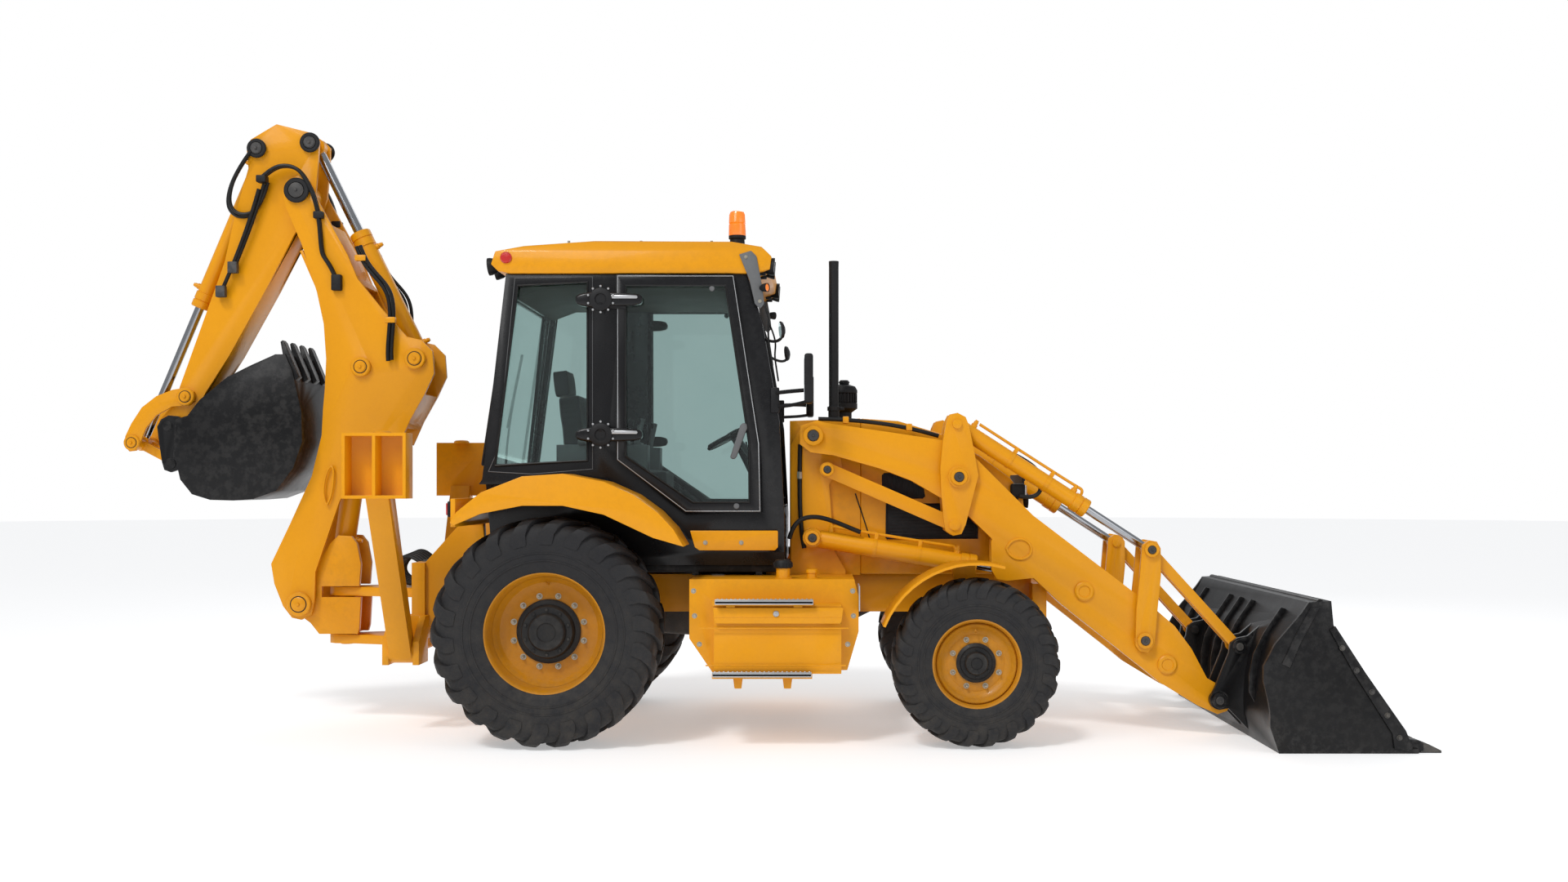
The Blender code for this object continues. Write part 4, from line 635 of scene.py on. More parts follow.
def makeHub(wheel):
    hub, out, face = wheel["hub"], wheel["hubOut"], wheel["face"]
    shape = [(face - 0.02, 0.0), (face - 0.02, hub - 0.002), (face + 0.020, hub - 0.002), (face + 0.026, hub - 0.010), (face + 0.030, hub * 0.84),
             (out - 0.038, hub * 0.80), (out - 0.030, hub * 0.77), (out - 0.028, hub * 0.60), (out - 0.006, hub * 0.56), (out, hub * 0.52),
             (out, hub * 0.30), (out - 0.006, hub * 0.27), (out - 0.006, 0.0)]
    pieces = [spun(shape, (0, 0), 56)]
    count = 10 if hub > 0.15 else 6
    for k in range(count):
        turn = 2 * math.pi * k / count
        r = hub * 0.69
        pieces.append(bolt((r * math.sin(turn), out - 0.029, r * math.cos(turn)), (0, 1, 0), hub * 0.048, False))
    return joined(pieces)


def makeWheelNuts(wheel):
    places = []
    for k in range(wheel["bolts"]):
        turn = 2 * math.pi * (k + 0.5) / wheel["bolts"]
        places.append((wheel["boltRing"] * math.sin(turn), wheel["face"] + 0.006, wheel["boltRing"] * math.cos(turn)))
    studs = [turned((x, y, z), (x, y + 0.03, z), [(0, 0.007), (0.026, 0.007), (0.029, 0.005)], 10) for x, y, z in places]
    return joined([bolts(places, (0, 1, 0), wheel["boltSize"])] + studs)


def makeWheels():
    for place, wheel in (("rear", rearWheel), ("front", frontWheel)):
        x, z = wheel["middle"]
        masters = (("tyre", makeTyre(wheel), "tyreRubber", "tyre"), ("dish", makeRim(wheel), "rimYellowDirtAndShade", "rim"), ("hub", makeHub(wheel),
            "frameBlack", "rim"),
                   ("nuts", makeWheelNuts(wheel), "boltZinc", None))
        for side, s in bothSides:
            for kind, master, finish, node in masters:
                turn = Matrix.Identity(4) if s > 0 else Matrix.Rotation(math.pi, 4, "Z")
                piece = copyOf(master, Matrix.Translation((x, s * wheel["track"], z)) @ turn)
                ready(piece, f"{kind}_{place}_{side}", f"wheel_{place}_{side}", finish, [f"{node}_{place}_{side}"] if node else ())
        for _, master, _, _ in masters:
            bpy.data.objects.remove(master)
    print("wheels made")


# hydraulic cylinders
cylinders = {
    "lift": {"barrel": 0.055, "rod": 0.0275, "end": 0.155, "pin": 0.058, "eyeHalf": 0.0565, "finish": "machineYellow"},
    "tilt": {"barrel": 0.050, "rod": 0.0255, "reach": 0.935, "pin": 0.052, "finish": "machineYellow"},
    "boom": {"barrel": 0.066, "rod": 0.0335, "end": 0.165, "pin": 0.062, "finish": "machineYellow"},
    "dipper": {"barrel": 0.060, "rod": 0.0315, "reach": 0.905, "pin": 0.060, "finish": "machineYellow"},
    "bucket": {"barrel": 0.050, "rod": 0.0275, "reach": 1.065, "pin": 0.052, "finish": "machineYellow"},
}
pins = {"pTower": (0.405, 1.790), "lTower": (0.489, 1.588), "mTower": (0.400, 1.181), "kKnee": (1.269, 1.544), "gKnee": (1.259, 1.858),
        "jKnee": (1.244, 1.260), "nGusset": (1.534, 0.990), "aLever": (2.373, 0.573), "bLever": (2.412, 1.112), "cBucket": (2.932, 0.538),
        "eBucket": (2.815, 0.219), "boomFoot": (-2.795, 0.754), "fPost": (-2.580, 1.050), "tBoom": (-2.411, 2.231), "qDipper": (-2.810, 3.329),
        "dBoom": (-2.074, 2.282), "hDipper": (-2.742, 3.636), "uDipper": (-3.075, 3.600), "vLever": (-3.516, 2.047), "wLever": (-3.850, 1.760)}


def makeBarrel(start, end, values, y0, y1, portSide=(0, 0, 1)):
    # tube with its rear eye, stop ring, gland head and two ports
    a, b = Vector(start), Vector(end)
    length = (b - a).length
    reach = values.get("reach") or length - values["end"]
    r = values["barrel"]
    tube = turned(a, b, [(values["pin"] * 0.5, r * 0.86), (values["pin"] * 0.9, r), (reach - 0.10, r), (reach - 0.098, r + 0.006), (reach - 0.052,
        r + 0.006),
                         (reach - 0.050, r + 0.002), (reach - 0.046, r + 0.002), (reach - 0.044, r + 0.007), (reach - 0.006, r + 0.007), (reach,
                             r + 0.002),
                         (reach, values["rod"] + 0.004), (reach - 0.02, values["rod"] + 0.003)], 40)
    eye = spun([(y0, values["pin"] * 0.62), (y0, values["pin"] - 0.004), (y0 + 0.004, values["pin"]), (y1 - 0.004, values["pin"]), (y1,
        values["pin"] - 0.004),
                (y1, values["pin"] * 0.62)], (a.x, a.z), 36)
    parts = [tube, eye]
    way = (b - a).normalized()
    up = Vector(portSide)
    up = (up - way * up.dot(way)).normalized()
    for spot in (values["pin"] + 0.045, reach - 0.125):
        foot = a + way * spot + up * (r - 0.008)
        parts.append(turned(foot, foot + up, [(0, 0.019), (0.022, 0.019), (0.024, 0.014), (0.040, 0.014), (0.042, 0.011), (0.05, 0.011)], 18))
    return joined(parts)


def makeRod(start, end, values, half, eye=None):
    a, b = Vector(start), Vector(end)
    length = (b - a).length
    reach = values.get("reach") or length - values["end"]
    r = values["rod"]
    rod = turned(a, b, [(reach - 0.15, r), (length - 0.060, r), (length - 0.056, r * 0.9), (length - 0.03, r * 0.9)], 32)
    return rod


def makeEye(at, half, radius, y=0.0):
    return spun([(y - half, 0.0), (y - half, radius - 0.004), (y - half + 0.004, radius), (y + half - 0.004, radius), (y + half, radius - 0.004),
        (y + half, 0.0)],
                at, 36)


def hardPipe(start, end, values, up, spots):
    # steel pipe that carries oil along the barrel to its far port
    a, b = Vector(start), Vector(end)
    way = (b - a).normalized()
    lift = Vector(up)
    lift = (lift - way * lift.dot(way)).normalized()
    r = values["barrel"]
    line = [a + way * spots[0] + lift * (r + 0.030), a + way * (spots[0] + 0.05) + lift * (r + 0.030)]
    line += [a + way * (spots[1] - 0.07) + lift * (r + 0.030), a + way * (spots[1] - 0.03) + lift * (r + 0.036),
        a + way * spots[1] + lift * (r + 0.034),
             a + way * spots[1] + lift * r]
    pipe = hose([tuple(p) for p in line], 0.009)
    straps = []
    for share in (0.35, 0.7):
        spot = spots[0] + (spots[1] - spots[0]) * share
        foot = a + way * spot
        ring = turned(foot, foot + way, [(0, r + 0.003), (0.022, r + 0.003)], 36)
        pipeStrap = block((-0.012, -0.016, 0), (0.012, 0.016, 0.040), 0.003)
        frameTurn = Matrix((way, way.cross(lift), lift)).transposed().to_4x4()
        pipeStrap.data.transform(Matrix.Translation(foot + way * 0.011 + lift * (r - 0.002)) @ frameTurn)
        straps += [ring, pipeStrap]
    return pipe, joined(straps)


def makeCylinders():
    for side, s in bothSides:
        m = (pins["mTower"][0], s * 0.53, pins["mTower"][1])
        n = (pins["nGusset"][0], s * 0.53, pins["nGusset"][1])
        c = cylinders["lift"]
        y0, y1 = sorted((s * 0.470, s * 0.5825))
        ready(makeBarrel(m, n, c, y0, y1), f"liftTube_{side}", "lift_barrels", c["finish"], [f"lift_barrel_{side}"])
        ready(makeRod(m, n, c, 0.028), f"liftRod_{side}", "lift_rods", "chromeRod", [f"lift_rod_{side}"])
        ready(makeEye(pins["nGusset"], 0.028, 0.046, s * 0.53), f"liftRodEye_{side}", "lift_rods", "machineYellow")
        pipe, straps = hardPipe(m, n, c, (0, 0, 1), (0.10, 0.86))
        ready(joined([pipe, straps]), f"liftPipe_{side}", "lift_barrels", "machineYellow")
        g = (pins["gKnee"][0], s * 0.53, pins["gKnee"][1])
        b = (pins["bLever"][0], s * 0.53, pins["bLever"][1])
        c = cylinders["tilt"]
        y0, y1 = sorted((s * 0.463, s * 0.597))
        ready(makeBarrel(g, b, c, y0, y1), f"tiltTube_{side}", "tilt_barrels", c["finish"], [f"tilt_barrel_{side}"])
        ready(makeRod(g, b, c, 0.026), f"tiltRod_{side}", "tilt_rods", "chromeRod", [f"tilt_rod_{side}"])
        ready(makeEye(pins["bLever"], 0.026, 0.044, s * 0.53), f"tiltRodEye_{side}", "tilt_rods", "machineYellow")
        pipe, straps = hardPipe(g, b, c, (0, 0, 1), (0.12, 0.86))
        ready(joined([pipe, straps]), f"tiltPipe_{side}", "tilt_barrels", "machineYellow")
    for name, first, last, half, rodBody, eyeHalf, up in (("boom", "fPost", "tBoom", 0.0945, "boom_rod", 0.0345, (1, 0, 0)),
                                                          ("dipper", "dBoom", "hDipper", 0.0975, "dipper_rod", 0.0325, (1, 0, 0.3)),
                                                          ("bucket", "uDipper", "wLever", 0.0975, "bucket_rod", 0.0295, (-1, 0, 0.3))):
        c = cylinders[name]
        a = (pins[first][0], 0, pins[first][1])
        b = (pins[last][0], 0, pins[last][1])
        ready(makeBarrel(a, b, c, -half, half, up), f"{name}Tube", f"{name}_barrel", c["finish"], [f"{name}_barrel"])
        ready(makeRod(a, b, c, eyeHalf), f"{name}Rod", rodBody, "chromeRod", [rodBody])
        ready(makeEye(pins[last], eyeHalf, {"boom": 0.056, "dipper": 0.054, "bucket": 0.048}[name]), f"{name}RodEye", rodBody, "machineYellow")
    print("cylinders made")


# plain steelwork: the CAD shapes with their edges eased
steelwork = {
    # the front axle takes frameBlack because it sits in shadow under the machine: its black is painted shade
    "chassis": {"main_frame": ("machineYellow", 0.004), "front_axle": ("frameBlack", 0.006), "side_boxes": ("machineYellow", 0.006),
        "engine_block": ("castIron", 0.008),
                "cab_frame": ("cabBlack", 0.010), "cab_roof": ("machineYellow", 0.022), "rear_fenders": ("machineYellow", 0.008),
                    "operator_station": ("mouldedGrey", 0.012),
                "rear_cowl": ("machineYellow", 0.010)},
    "hood": {"hood": ("machineYellow", 0.022)},
    "door_left": {"door_left": ("cabBlack", 0.008)}, "door_right": {"door_right": ("cabBlack", 0.008)},
    "knuckle_left": {"knuckle_left": ("machineYellow", 0.004)}, "knuckle_right": {"knuckle_right": ("machineYellow", 0.004)},
    "loader_arms": {"loader_arms": ("machineYellow", 0.006)},
    "knee_levers": {"knee_lever_left": ("machineYellow", 0.004), "knee_lever_right": ("machineYellow", 0.004)},
    "level_links": {"level_link_left": ("machineYellow", 0.004), "level_link_right": ("machineYellow", 0.004)},
    "tilt_levers": {"tilt_levers": ("machineYellow", 0.004)},
    "push_links": {"push_link_left": ("machineYellow", 0.003), "push_link_right": ("machineYellow", 0.003)},
    "loader_bucket": {"loader_bucket": ("bucketBlack", 0.004)},
    "swing_post": {"swing_post": ("machineYellow", 0.004)}, "boom": {"boom": ("machineYellow", 0.004)}, "dipper": {"dipper": ("machineYellow",
        0.004)},
    "bucket_lever": {"bucket_lever": ("machineYellow", 0.004)}, "bucket_link": {"bucket_link": ("machineYellow", 0.003)},
    "backhoe_bucket": {"backhoe_bucket": ("bucketBlack", 0.004)},
    "stabilizer_left": {"stabilizer_left": ("machineYellow", 0.005)}, "stabilizer_right": {"stabilizer_right": ("machineYellow", 0.005)},
}


trimmed = {"cab_roof": 2.948, "rear_cowl": 1.9045}


def slicedAt(piece, level):
    # keeps what lies below a level, closed with a flat face: the beacon and the stack are pieces of their own
    only(piece)
    bpy.ops.object.mode_set(mode="EDIT")
    bpy.ops.mesh.select_all(action="SELECT")
    bpy.ops.mesh.bisect(plane_co=(0, 0, level), plane_no=(0, 0, 1), clear_outer=True, use_fill=True)
    bpy.ops.object.mode_set(mode="OBJECT")
    return piece


def makeSteelwork():
    for body, nodes in steelwork.items():
        for node, (finish, edge) in nodes.items():
            shape = fromNode(node, edge)
            if node in trimmed:
                shape = slicedAt(shape, trimmed[node])
            ready(shape, f"{node}_shape", body, finish, [node])
    for node in ("windshield", "rear_window", "side_window_left", "side_window_right", "door_glass_left", "door_glass_right"):
        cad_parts[node].data.materials.clear()
        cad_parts[node].data.materials.append(materials["tintedGlass"])
    print("steelwork made")


# cab: outside
doorEdge = [(-0.742, 1.645), (-0.342, 1.343), (0.092, 1.343), (0.084, 1.74), (-0.066, 2.722), (-0.742, 2.722)]
rearEdge = [(-1.508, 1.575), (-1.452, 1.70), (-1.352, 2.715), (-0.895, 2.722), (-0.895, 1.590), (-1.25, 1.560)]
hingeShape = {"heights": (1.79, 2.58), "half": 0.040, "rear": -0.985, "front": -0.593}
mirrorArm = {"glass": (0.13, 0.24), "centre": (0.375, 0.905, 2.10), "tube": 0.012}
roofLamp = {"radius": 0.052, "depth": 0.07}


def side(s, a, b):
    return tuple(sorted((s * a, s * b)))


def edgeLine(outline, y, radius):
    # thin line that follows an outline all the way round
    line = [(x, y, z) for x, z in outline]
    line.append(line[0])
    piece = hose([tuple(p) for p in line], radius, 2, False)
    return piece


def lampPod(at, way, radius, depth):
    # round work lamp: bowl, bezel and lens, looking along way
    a = Vector(at)
    w = Vector(way).normalized()
    bowl = turned(a, a + w, [(0, radius * 0.45), (depth * 0.35, radius * 0.85), (depth * 0.8, radius), (depth, radius), (depth, radius * 0.88),
                             (depth * 0.86, radius * 0.86)], 28)
    lens = turned(a, a + w, [(depth * 0.80, radius * 0.84), (depth * 0.93, radius * 0.84), (depth * 0.99, radius * 0.6), (depth * 1.0,
        radius * 0.2)], 28)
    return bowl, lens


def makeCabOutside():
    for name, s in bothSides:
        door = f"door_{name}"
        face = s * 0.7365
        ready(edgeLine(doorEdge, face, 0.0028), f"doorSeam_{name}", door, "zincSteel")
        ready(edgeLine(rearEdge, s * 0.7005, 0.0026), f"quarterSeam_{name}", "chassis", "mouldedGrey")
        glassEdge = [(-0.695, 1.665), (-0.300, 1.395), (0.030, 1.395), (0.030, 1.74), (-0.110, 2.665), (-0.695, 2.665)]
        ready(edgeLine(glassEdge, face, 0.0075), f"doorSeal_{name}", door, "hoseRubber")
        windowEdge = [(-1.470, 1.610), (-1.335, 2.670), (-0.925, 2.690), (-0.925, 1.640)]
        ready(edgeLine(windowEdge, s * 0.7005, 0.008), f"quarterSeal_{name}", "chassis", "hoseRubber")
        for index, z in enumerate(hingeShape["heights"]):
            h = hingeShape["half"]
            leaf = [(-0.802, z - h), (-0.640, z - h * 0.86), (-0.603, z - h * 0.66), (-0.593, z - h * 0.3), (-0.593, z + h * 0.3), (-0.603,
                z + h * 0.66),
                    (-0.640, z + h * 0.86), (-0.802, z + h)]
            y0, y1 = side(s, 0.731, 0.786)
            ready(plate(leaf, y0, y1, bevel=0.016, segments=4), f"hingeLeaf_{name}_{index}", door, "cabBlack")
            # light zinc strip along the upper half of each rounded hinge leaf: a painted highlight, not a part of its
            # own
            straps = plate([(-0.775, z + h * 0.10), (-0.625, z + h * 0.10), (-0.618, z + h * 0.30), (-0.625, z + h * 0.55), (-0.775, z + h * 0.62)],
                           *side(s, 0.7845, 0.7905), bevel=0.003)
            ready(straps, f"hingeHighlightStrip_{name}_{index}", door, "zincSteel")
            rearHalf = [(-0.985, z - h * 0.55), (-0.955, z - h * 0.85), (-0.868, z - h * 1.25), (-0.868, z + h * 1.25), (-0.955, z + h * 0.85),
                        (-0.985, z + h * 0.55)]
            y0, y1 = side(s, 0.698, 0.776)
            ready(plate(rearHalf, y0, y1, bevel=0.014, segments=3), f"hingeFoot_{name}_{index}", "chassis", "cabBlack")
            knuckle = turned((-0.835, s * 0.760, z - 0.062), (-0.835, s * 0.760, z + 0.1),
                             [(0, 0.026), (0.006, 0.033), (0.040, 0.033), (0.044, 0.030), (0.080, 0.030), (0.084, 0.033), (0.118, 0.033), (0.124,
                                 0.026)], 28)
            ready(knuckle, f"hingeBarrel_{name}_{index}", door, "cabBlack")
            hub = spun([(s * 0.770, 0.0), (s * 0.770, 0.066), (s * 0.792, 0.066), (s * 0.797, 0.058), (s * 0.797, 0.034), (s * 0.790, 0.030),
                (s * 0.790, 0.0)], (-0.835, z), 36)
            ready(hub, f"hingeHub_{name}_{index}", door, "mouldedBlack")
            ring = []
            for k in range(10):
                turn = math.pi * 2 * (k + 0.5) / 10
                ring.append((-0.835 + 0.076 * math.cos(turn), s * 0.786, z + 0.076 * math.sin(turn)))
            ready(bolts(ring, (0, s, 0), 0.0075, False), f"hingeBolts_{name}_{index}", door, "zincSteel")
        # handle and two glass studs
        grip = plate([(-0.082, 1.655), (-0.062, 1.645), (-0.045, 1.655), (0.020, 1.830), (0.016, 1.855), (-0.006, 1.860), (-0.022, 1.845)],
                     *side(s, 0.748, 0.772), bevel=0.009, segments=3)
        feet = [block((-0.070, *side(s, 0.734, 0.752)[:1], 1.668), (-0.045, side(s, 0.734, 0.752)[1], 1.690), 0.003),
                block((-0.010, side(s, 0.734, 0.752)[0], 1.815), (0.012, side(s, 0.734, 0.752)[1], 1.838), 0.003)]
        ready(joined([grip] + feet), f"doorHandle_{name}", door, "mouldedGrey")
        studs = [pinHead((-0.045, 1.372), s * 0.734, s * 0.745, 0.017, 0.004, 20), pinHead((-0.189, 2.648), s * 0.734, s * 0.745, 0.016, 0.004, 20)]
        ready(joined(studs), f"glassStuds_{name}", door, "mouldedGrey")
        # sill strip under the door
        sill = plate([(-0.318, 1.228), (0.194, 1.228), (0.198, 1.222), (0.198, 1.130), (0.180, 1.112), (-0.262, 1.112), (-0.290, 1.130)],
                     *side(s, 0.702, 0.735), bevel=0.007, segments=3)
        ready(sill, f"sillStrip_{name}", "chassis", "machineYellow")
        ready(bolts([(x, s * 0.7345, 1.158) for x in (-0.228, -0.017)], (0, s, 0), 0.010), f"sillBolts_{name}", "chassis", "boltZinc")
        # mirror on two arms, with a small round one above
        cx, cy, cz = mirrorArm["centre"]
        arms = [hose([(0.165, s * 0.69, 2.035), (0.24, s * 0.74, 2.045), (0.33, s * 0.82, 2.045), (0.39, s * cy, 2.045)], mirrorArm["tube"]),
                hose([(0.178, s * 0.69, 1.955), (0.25, s * 0.74, 1.960), (0.33, s * 0.82, 1.965), (0.39, s * cy, 1.985)], mirrorArm["tube"] * 0.9),
                block((0.155, *side(s, 0.67, 0.715)[:1], 1.92), (0.205, side(s, 0.67, 0.715)[1], 2.07), 0.006)]
        shell = block((cx - 0.020, s * cy - mirrorArm["glass"][0] / 2 - 0.012, cz - 0.135), (cx + 0.030,
            s * cy + mirrorArm["glass"][0] / 2 + 0.012, cz + 0.150), 0.016, 4)
        stem = hose([(0.115, s * 0.66, 2.36), (0.17, s * 0.72, 2.33), (0.215, s * 0.77, 2.33), (0.228, s * 0.79, 2.375)], 0.009)
        little = turned((0.240, s * 0.80, 2.40), (0.13, s * 0.82, 2.39), [(0, 0.020), (0.010, 0.045), (0.022, 0.052), (0.028, 0.050)], 24)
        ready(joined(arms + [shell, stem, little]), f"mirror_{name}", "chassis", "mouldedBlack")
        glass = block((cx - 0.0225, s * cy - mirrorArm["glass"][0] / 2, cz - 0.120), (cx - 0.0195, s * cy + mirrorArm["glass"][0] / 2, cz + 0.132),
            0.001)
        littleGlass = turned((0.214, s * 0.8035, 2.3975), (0.10, s * 0.824, 2.387), [(0, 0.046), (0.003, 0.046)], 24)
        ready(joined([glass, littleGlass]), f"mirrorGlass_{name}", "chassis", "mirrorGlass")
        # grey bracket and lamps at the front corner of the roof
        bracket = plate([(-0.030, 2.850), (0.040, 2.872), (0.072, 2.840), (0.108, 2.650), (0.118, 2.560), (0.092, 2.530), (0.062, 2.560), (0.030,
            2.700)],
                        *side(s, 0.722, 0.732), bevel=0.004)
        ready(bracket, f"lampBracket_{name}", "chassis", "mouldedGrey")
        ready(bolts([(0.010, s * 0.7315, 2.835), (0.092, s * 0.7315, 2.575)], (0, s, 0), 0.008), f"bracketBolts_{name}", "chassis", "boltZinc")
        pods = []
        for y in (0.66, 0.50):
            bowl, lens = lampPod((0.105, s * y, 2.792), (1, 0, -0.08), roofLamp["radius"], roofLamp["depth"])
            pods.append(bowl)
            pods.append(block((0.085, s * y - 0.012, 2.735), (0.125, s * y + 0.012, 2.79), 0.004))
            ready(lens, f"workLamp_{name}_{int(y * 100)}", "chassis", "lampGlass")
        bowl, lens = lampPod((0.095, s * 0.735, 2.652), (0.85, s * 0.5, 0), 0.026, 0.05)
        pods.append(bowl)
        ready(lens, f"frontIndicator_{name}", "chassis", "orangeLens")
        for y in (0.62, 0.42):
            bowl, lens = lampPod((-1.455, s * y, 2.800), (-1, 0, -0.12), roofLamp["radius"], roofLamp["depth"])
            pods.append(bowl)
            ready(lens, f"rearWorkLamp_{name}_{int(y * 100)}", "chassis", "lampGlass")
        ready(joined(pods), f"lampBowls_{name}", "chassis", "mouldedBlack")
        tail = turned((-1.400, s * 0.716, 2.832), (-1.400, s * 0.80, 2.832), [(0, 0.034), (0.010, 0.034), (0.016, 0.028), (0.018, 0.010)], 24)
        ready(tail, f"rearIndicator_{name}", "chassis", "redLens")
        hoseLine = [(0.100, s * 0.715, 2.60), (0.135, s * 0.735, 2.52), (0.150, s * 0.735, 2.45), (0.135, s * 0.715, 2.38), (0.150, s * 0.700,
            2.30), (0.165, s * 0.69, 2.2)]
        ready(hose(hoseLine, 0.006), f"lampLead_{name}", "chassis", "hoseRubber")
        # tail lamps on the back of the fenders
        lampBox = block((-1.665, *side(s, 0.80, 1.06)[:1], 1.315), (-1.625, side(s, 0.80, 1.06)[1], 1.405), 0.008)
        ready(lampBox, f"tailLampBox_{name}", "chassis", "mouldedBlack")
        ready(block((-1.675, side(s, 0.94, 1.05)[0], 1.325), (-1.660, side(s, 0.94, 1.05)[1], 1.395), 0.006, 3), f"tailLamp_{name}", "chassis",
            "redLens")
        ready(block((-1.675, side(s, 0.82, 0.93)[0], 1.325), (-1.660, side(s, 0.82, 0.93)[1], 1.395), 0.006, 3), f"tailIndicator_{name}",
            "chassis", "orangeLens")
    # beacon
    base = turned((-0.055, -0.45, 2.925), (-0.055, -0.45, 3.1), [(0, 0.062), (0.018, 0.062), (0.030, 0.046), (0.055, 0.044), (0.060, 0.052),
        (0.078, 0.052)], 32)
    ready(base, "beaconFoot", "chassis", "mouldedBlack")
    lens = turned((-0.055, -0.45, 3.000), (-0.055, -0.45, 3.2), [(0, 0.050), (0.006, 0.052), (0.070, 0.051), (0.074, 0.047), (0.080, 0.051),
        (0.130, 0.049),
                                                                 (0.146, 0.042), (0.152, 0.030)], 32)
    ready(lens, "beaconLens", "chassis", "orangeLens")
    eyes = []
    for x, y in ((-1.05, -0.60), (-0.62, -0.60), (-0.20, -0.60), (-1.05, 0.60), (-0.20, 0.60)):
        eyes.append(turned((x, y, 2.90), (x, y, 3.0), [(0, 0.016), (0.03, 0.016), (0.034, 0.008), (0.050, 0.008)], 12))
    ready(joined(eyes), "roofStuds", "chassis", "boltZinc")
    # wipers on the front and back glass
    arm = hose([(0.235, -0.06, 1.40), (0.226, -0.08, 1.60), (0.200, -0.14, 1.85), (0.165, -0.18, 2.05)], 0.007)
    blade = hose([(0.208, -0.10, 1.72), (0.186, -0.16, 1.90), (0.158, -0.22, 2.08), (0.110, -0.28, 2.32)], 0.009)
    pivot = turned((0.19, -0.06, 1.395), (0.26, -0.06, 1.395), [(0, 0.026), (0.04, 0.024), (0.046, 0.016)], 20)
    ready(joined([arm, blade, pivot]), "frontWiper", "chassis", "mouldedBlack")
    arm = hose([(-1.555, 0.02, 1.60), (-1.560, 0.05, 1.78), (-1.535, 0.12, 2.0), (-1.515, 0.16, 2.14)], 0.007)
    blade = hose([(-1.550, 0.05, 1.86), (-1.532, 0.11, 2.02), (-1.508, 0.18, 2.20), (-1.492, 0.23, 2.34)], 0.009)
    pivot = turned((-1.53, 0.02, 1.592), (-1.59, 0.02, 1.592), [(0, 0.026), (0.035, 0.024), (0.041, 0.016)], 20)
    ready(joined([arm, blade, pivot]), "rearWiper", "chassis", "mouldedBlack")
    rim = hose([(0.222, -0.61, 1.36), (0.222, 0.61, 1.36), (0.085, 0.60, 2.44), (0.024, 0.60, 2.64), (0.024, -0.60, 2.64), (0.085, -0.60, 2.44),
        (0.222, -0.61, 1.36)], 0.010, 2, False)
    rim2 = hose([(-1.562, -0.60, 1.62), (-1.562, 0.60, 1.62), (-1.417, 0.58, 2.62), (-1.417, -0.58, 2.62), (-1.562, -0.60, 1.62)], 0.010, 2, False)
    ready(joined([rim, rim2]), "screenSeals", "chassis", "hoseRubber")
    print("cab outside made")


# cab: inside
wheelGrip = {"radius": 0.178, "thick": 0.0125, "middle": (-0.100, 1.812), "lean": -29}
seat = {"cushion": ((-1.00, -0.235, 1.462), (-0.50, 0.235, 1.585)), "back": ((-1.13, -0.225, 1.56), (-0.99, 0.225, 2.05)),
        "head": ((-1.155, -0.14, 2.06), (-1.06, 0.14, 2.22)), "crown": 0.018}


def cushion(low, high, name, crown, seams, lean=0.0, middle=None):
    # crowned pad: a block with rounded edges, swollen in its middle, with sewn channels pressed in
    deselect()
    bpy.ops.mesh.primitive_cube_add(size=1, location=[(a + b) / 2 for a, b in zip(low, high)])
    pad = bpy.context.object
    pad.scale = [b - a for a, b in zip(low, high)]
    settle(pad)
    bpy.ops.object.mode_set(mode="EDIT")
    bpy.ops.mesh.select_all(action="SELECT")
    bpy.ops.mesh.subdivide(number_cuts=7)
    bpy.ops.object.mode_set(mode="OBJECT")
    centre = Vector([(a + b) / 2 for a, b in zip(low, high)])
    half = Vector([(b - a) / 2 for a, b in zip(low, high)])
    for vertex in pad.data.vertices:
        d = Vector([(c - m) / h for c, m, h in zip(vertex.co, centre, half)])
        order = sorted(range(3), key=lambda i: half[i])
        thin, wide, longWay = order
        fall = (1 - d[wide] ** 4) * (1 - d[longWay] ** 4)
        vertex.co[thin] += crown * d[thin] * (fall - 0.35)
        pull = 1 - 0.045 * (1 - d[longWay] ** 2) * abs(d[wide])
        vertex.co[wide] = centre[wide] + (vertex.co[wide] - centre[wide]) * pull
        for place in seams:
            near = max(0.0, 1 - abs(d[longWay] - place) / 0.13)
            vertex.co[thin] -= 0.010 * near * d[thin]
    if lean:
        pad.data.transform(Matrix.Translation(Vector(middle)) @ Matrix.Rotation(math.radians(lean), 4, "Y") @ Matrix.Translation(-Vector(middle)))
    only(pad)
    soft = pad.modifiers.new("soft", "SUBSURF")
    soft.levels = soft.render_levels = 2
    bpy.ops.object.modifier_apply(modifier="soft")
    pad.name = name
    return pad


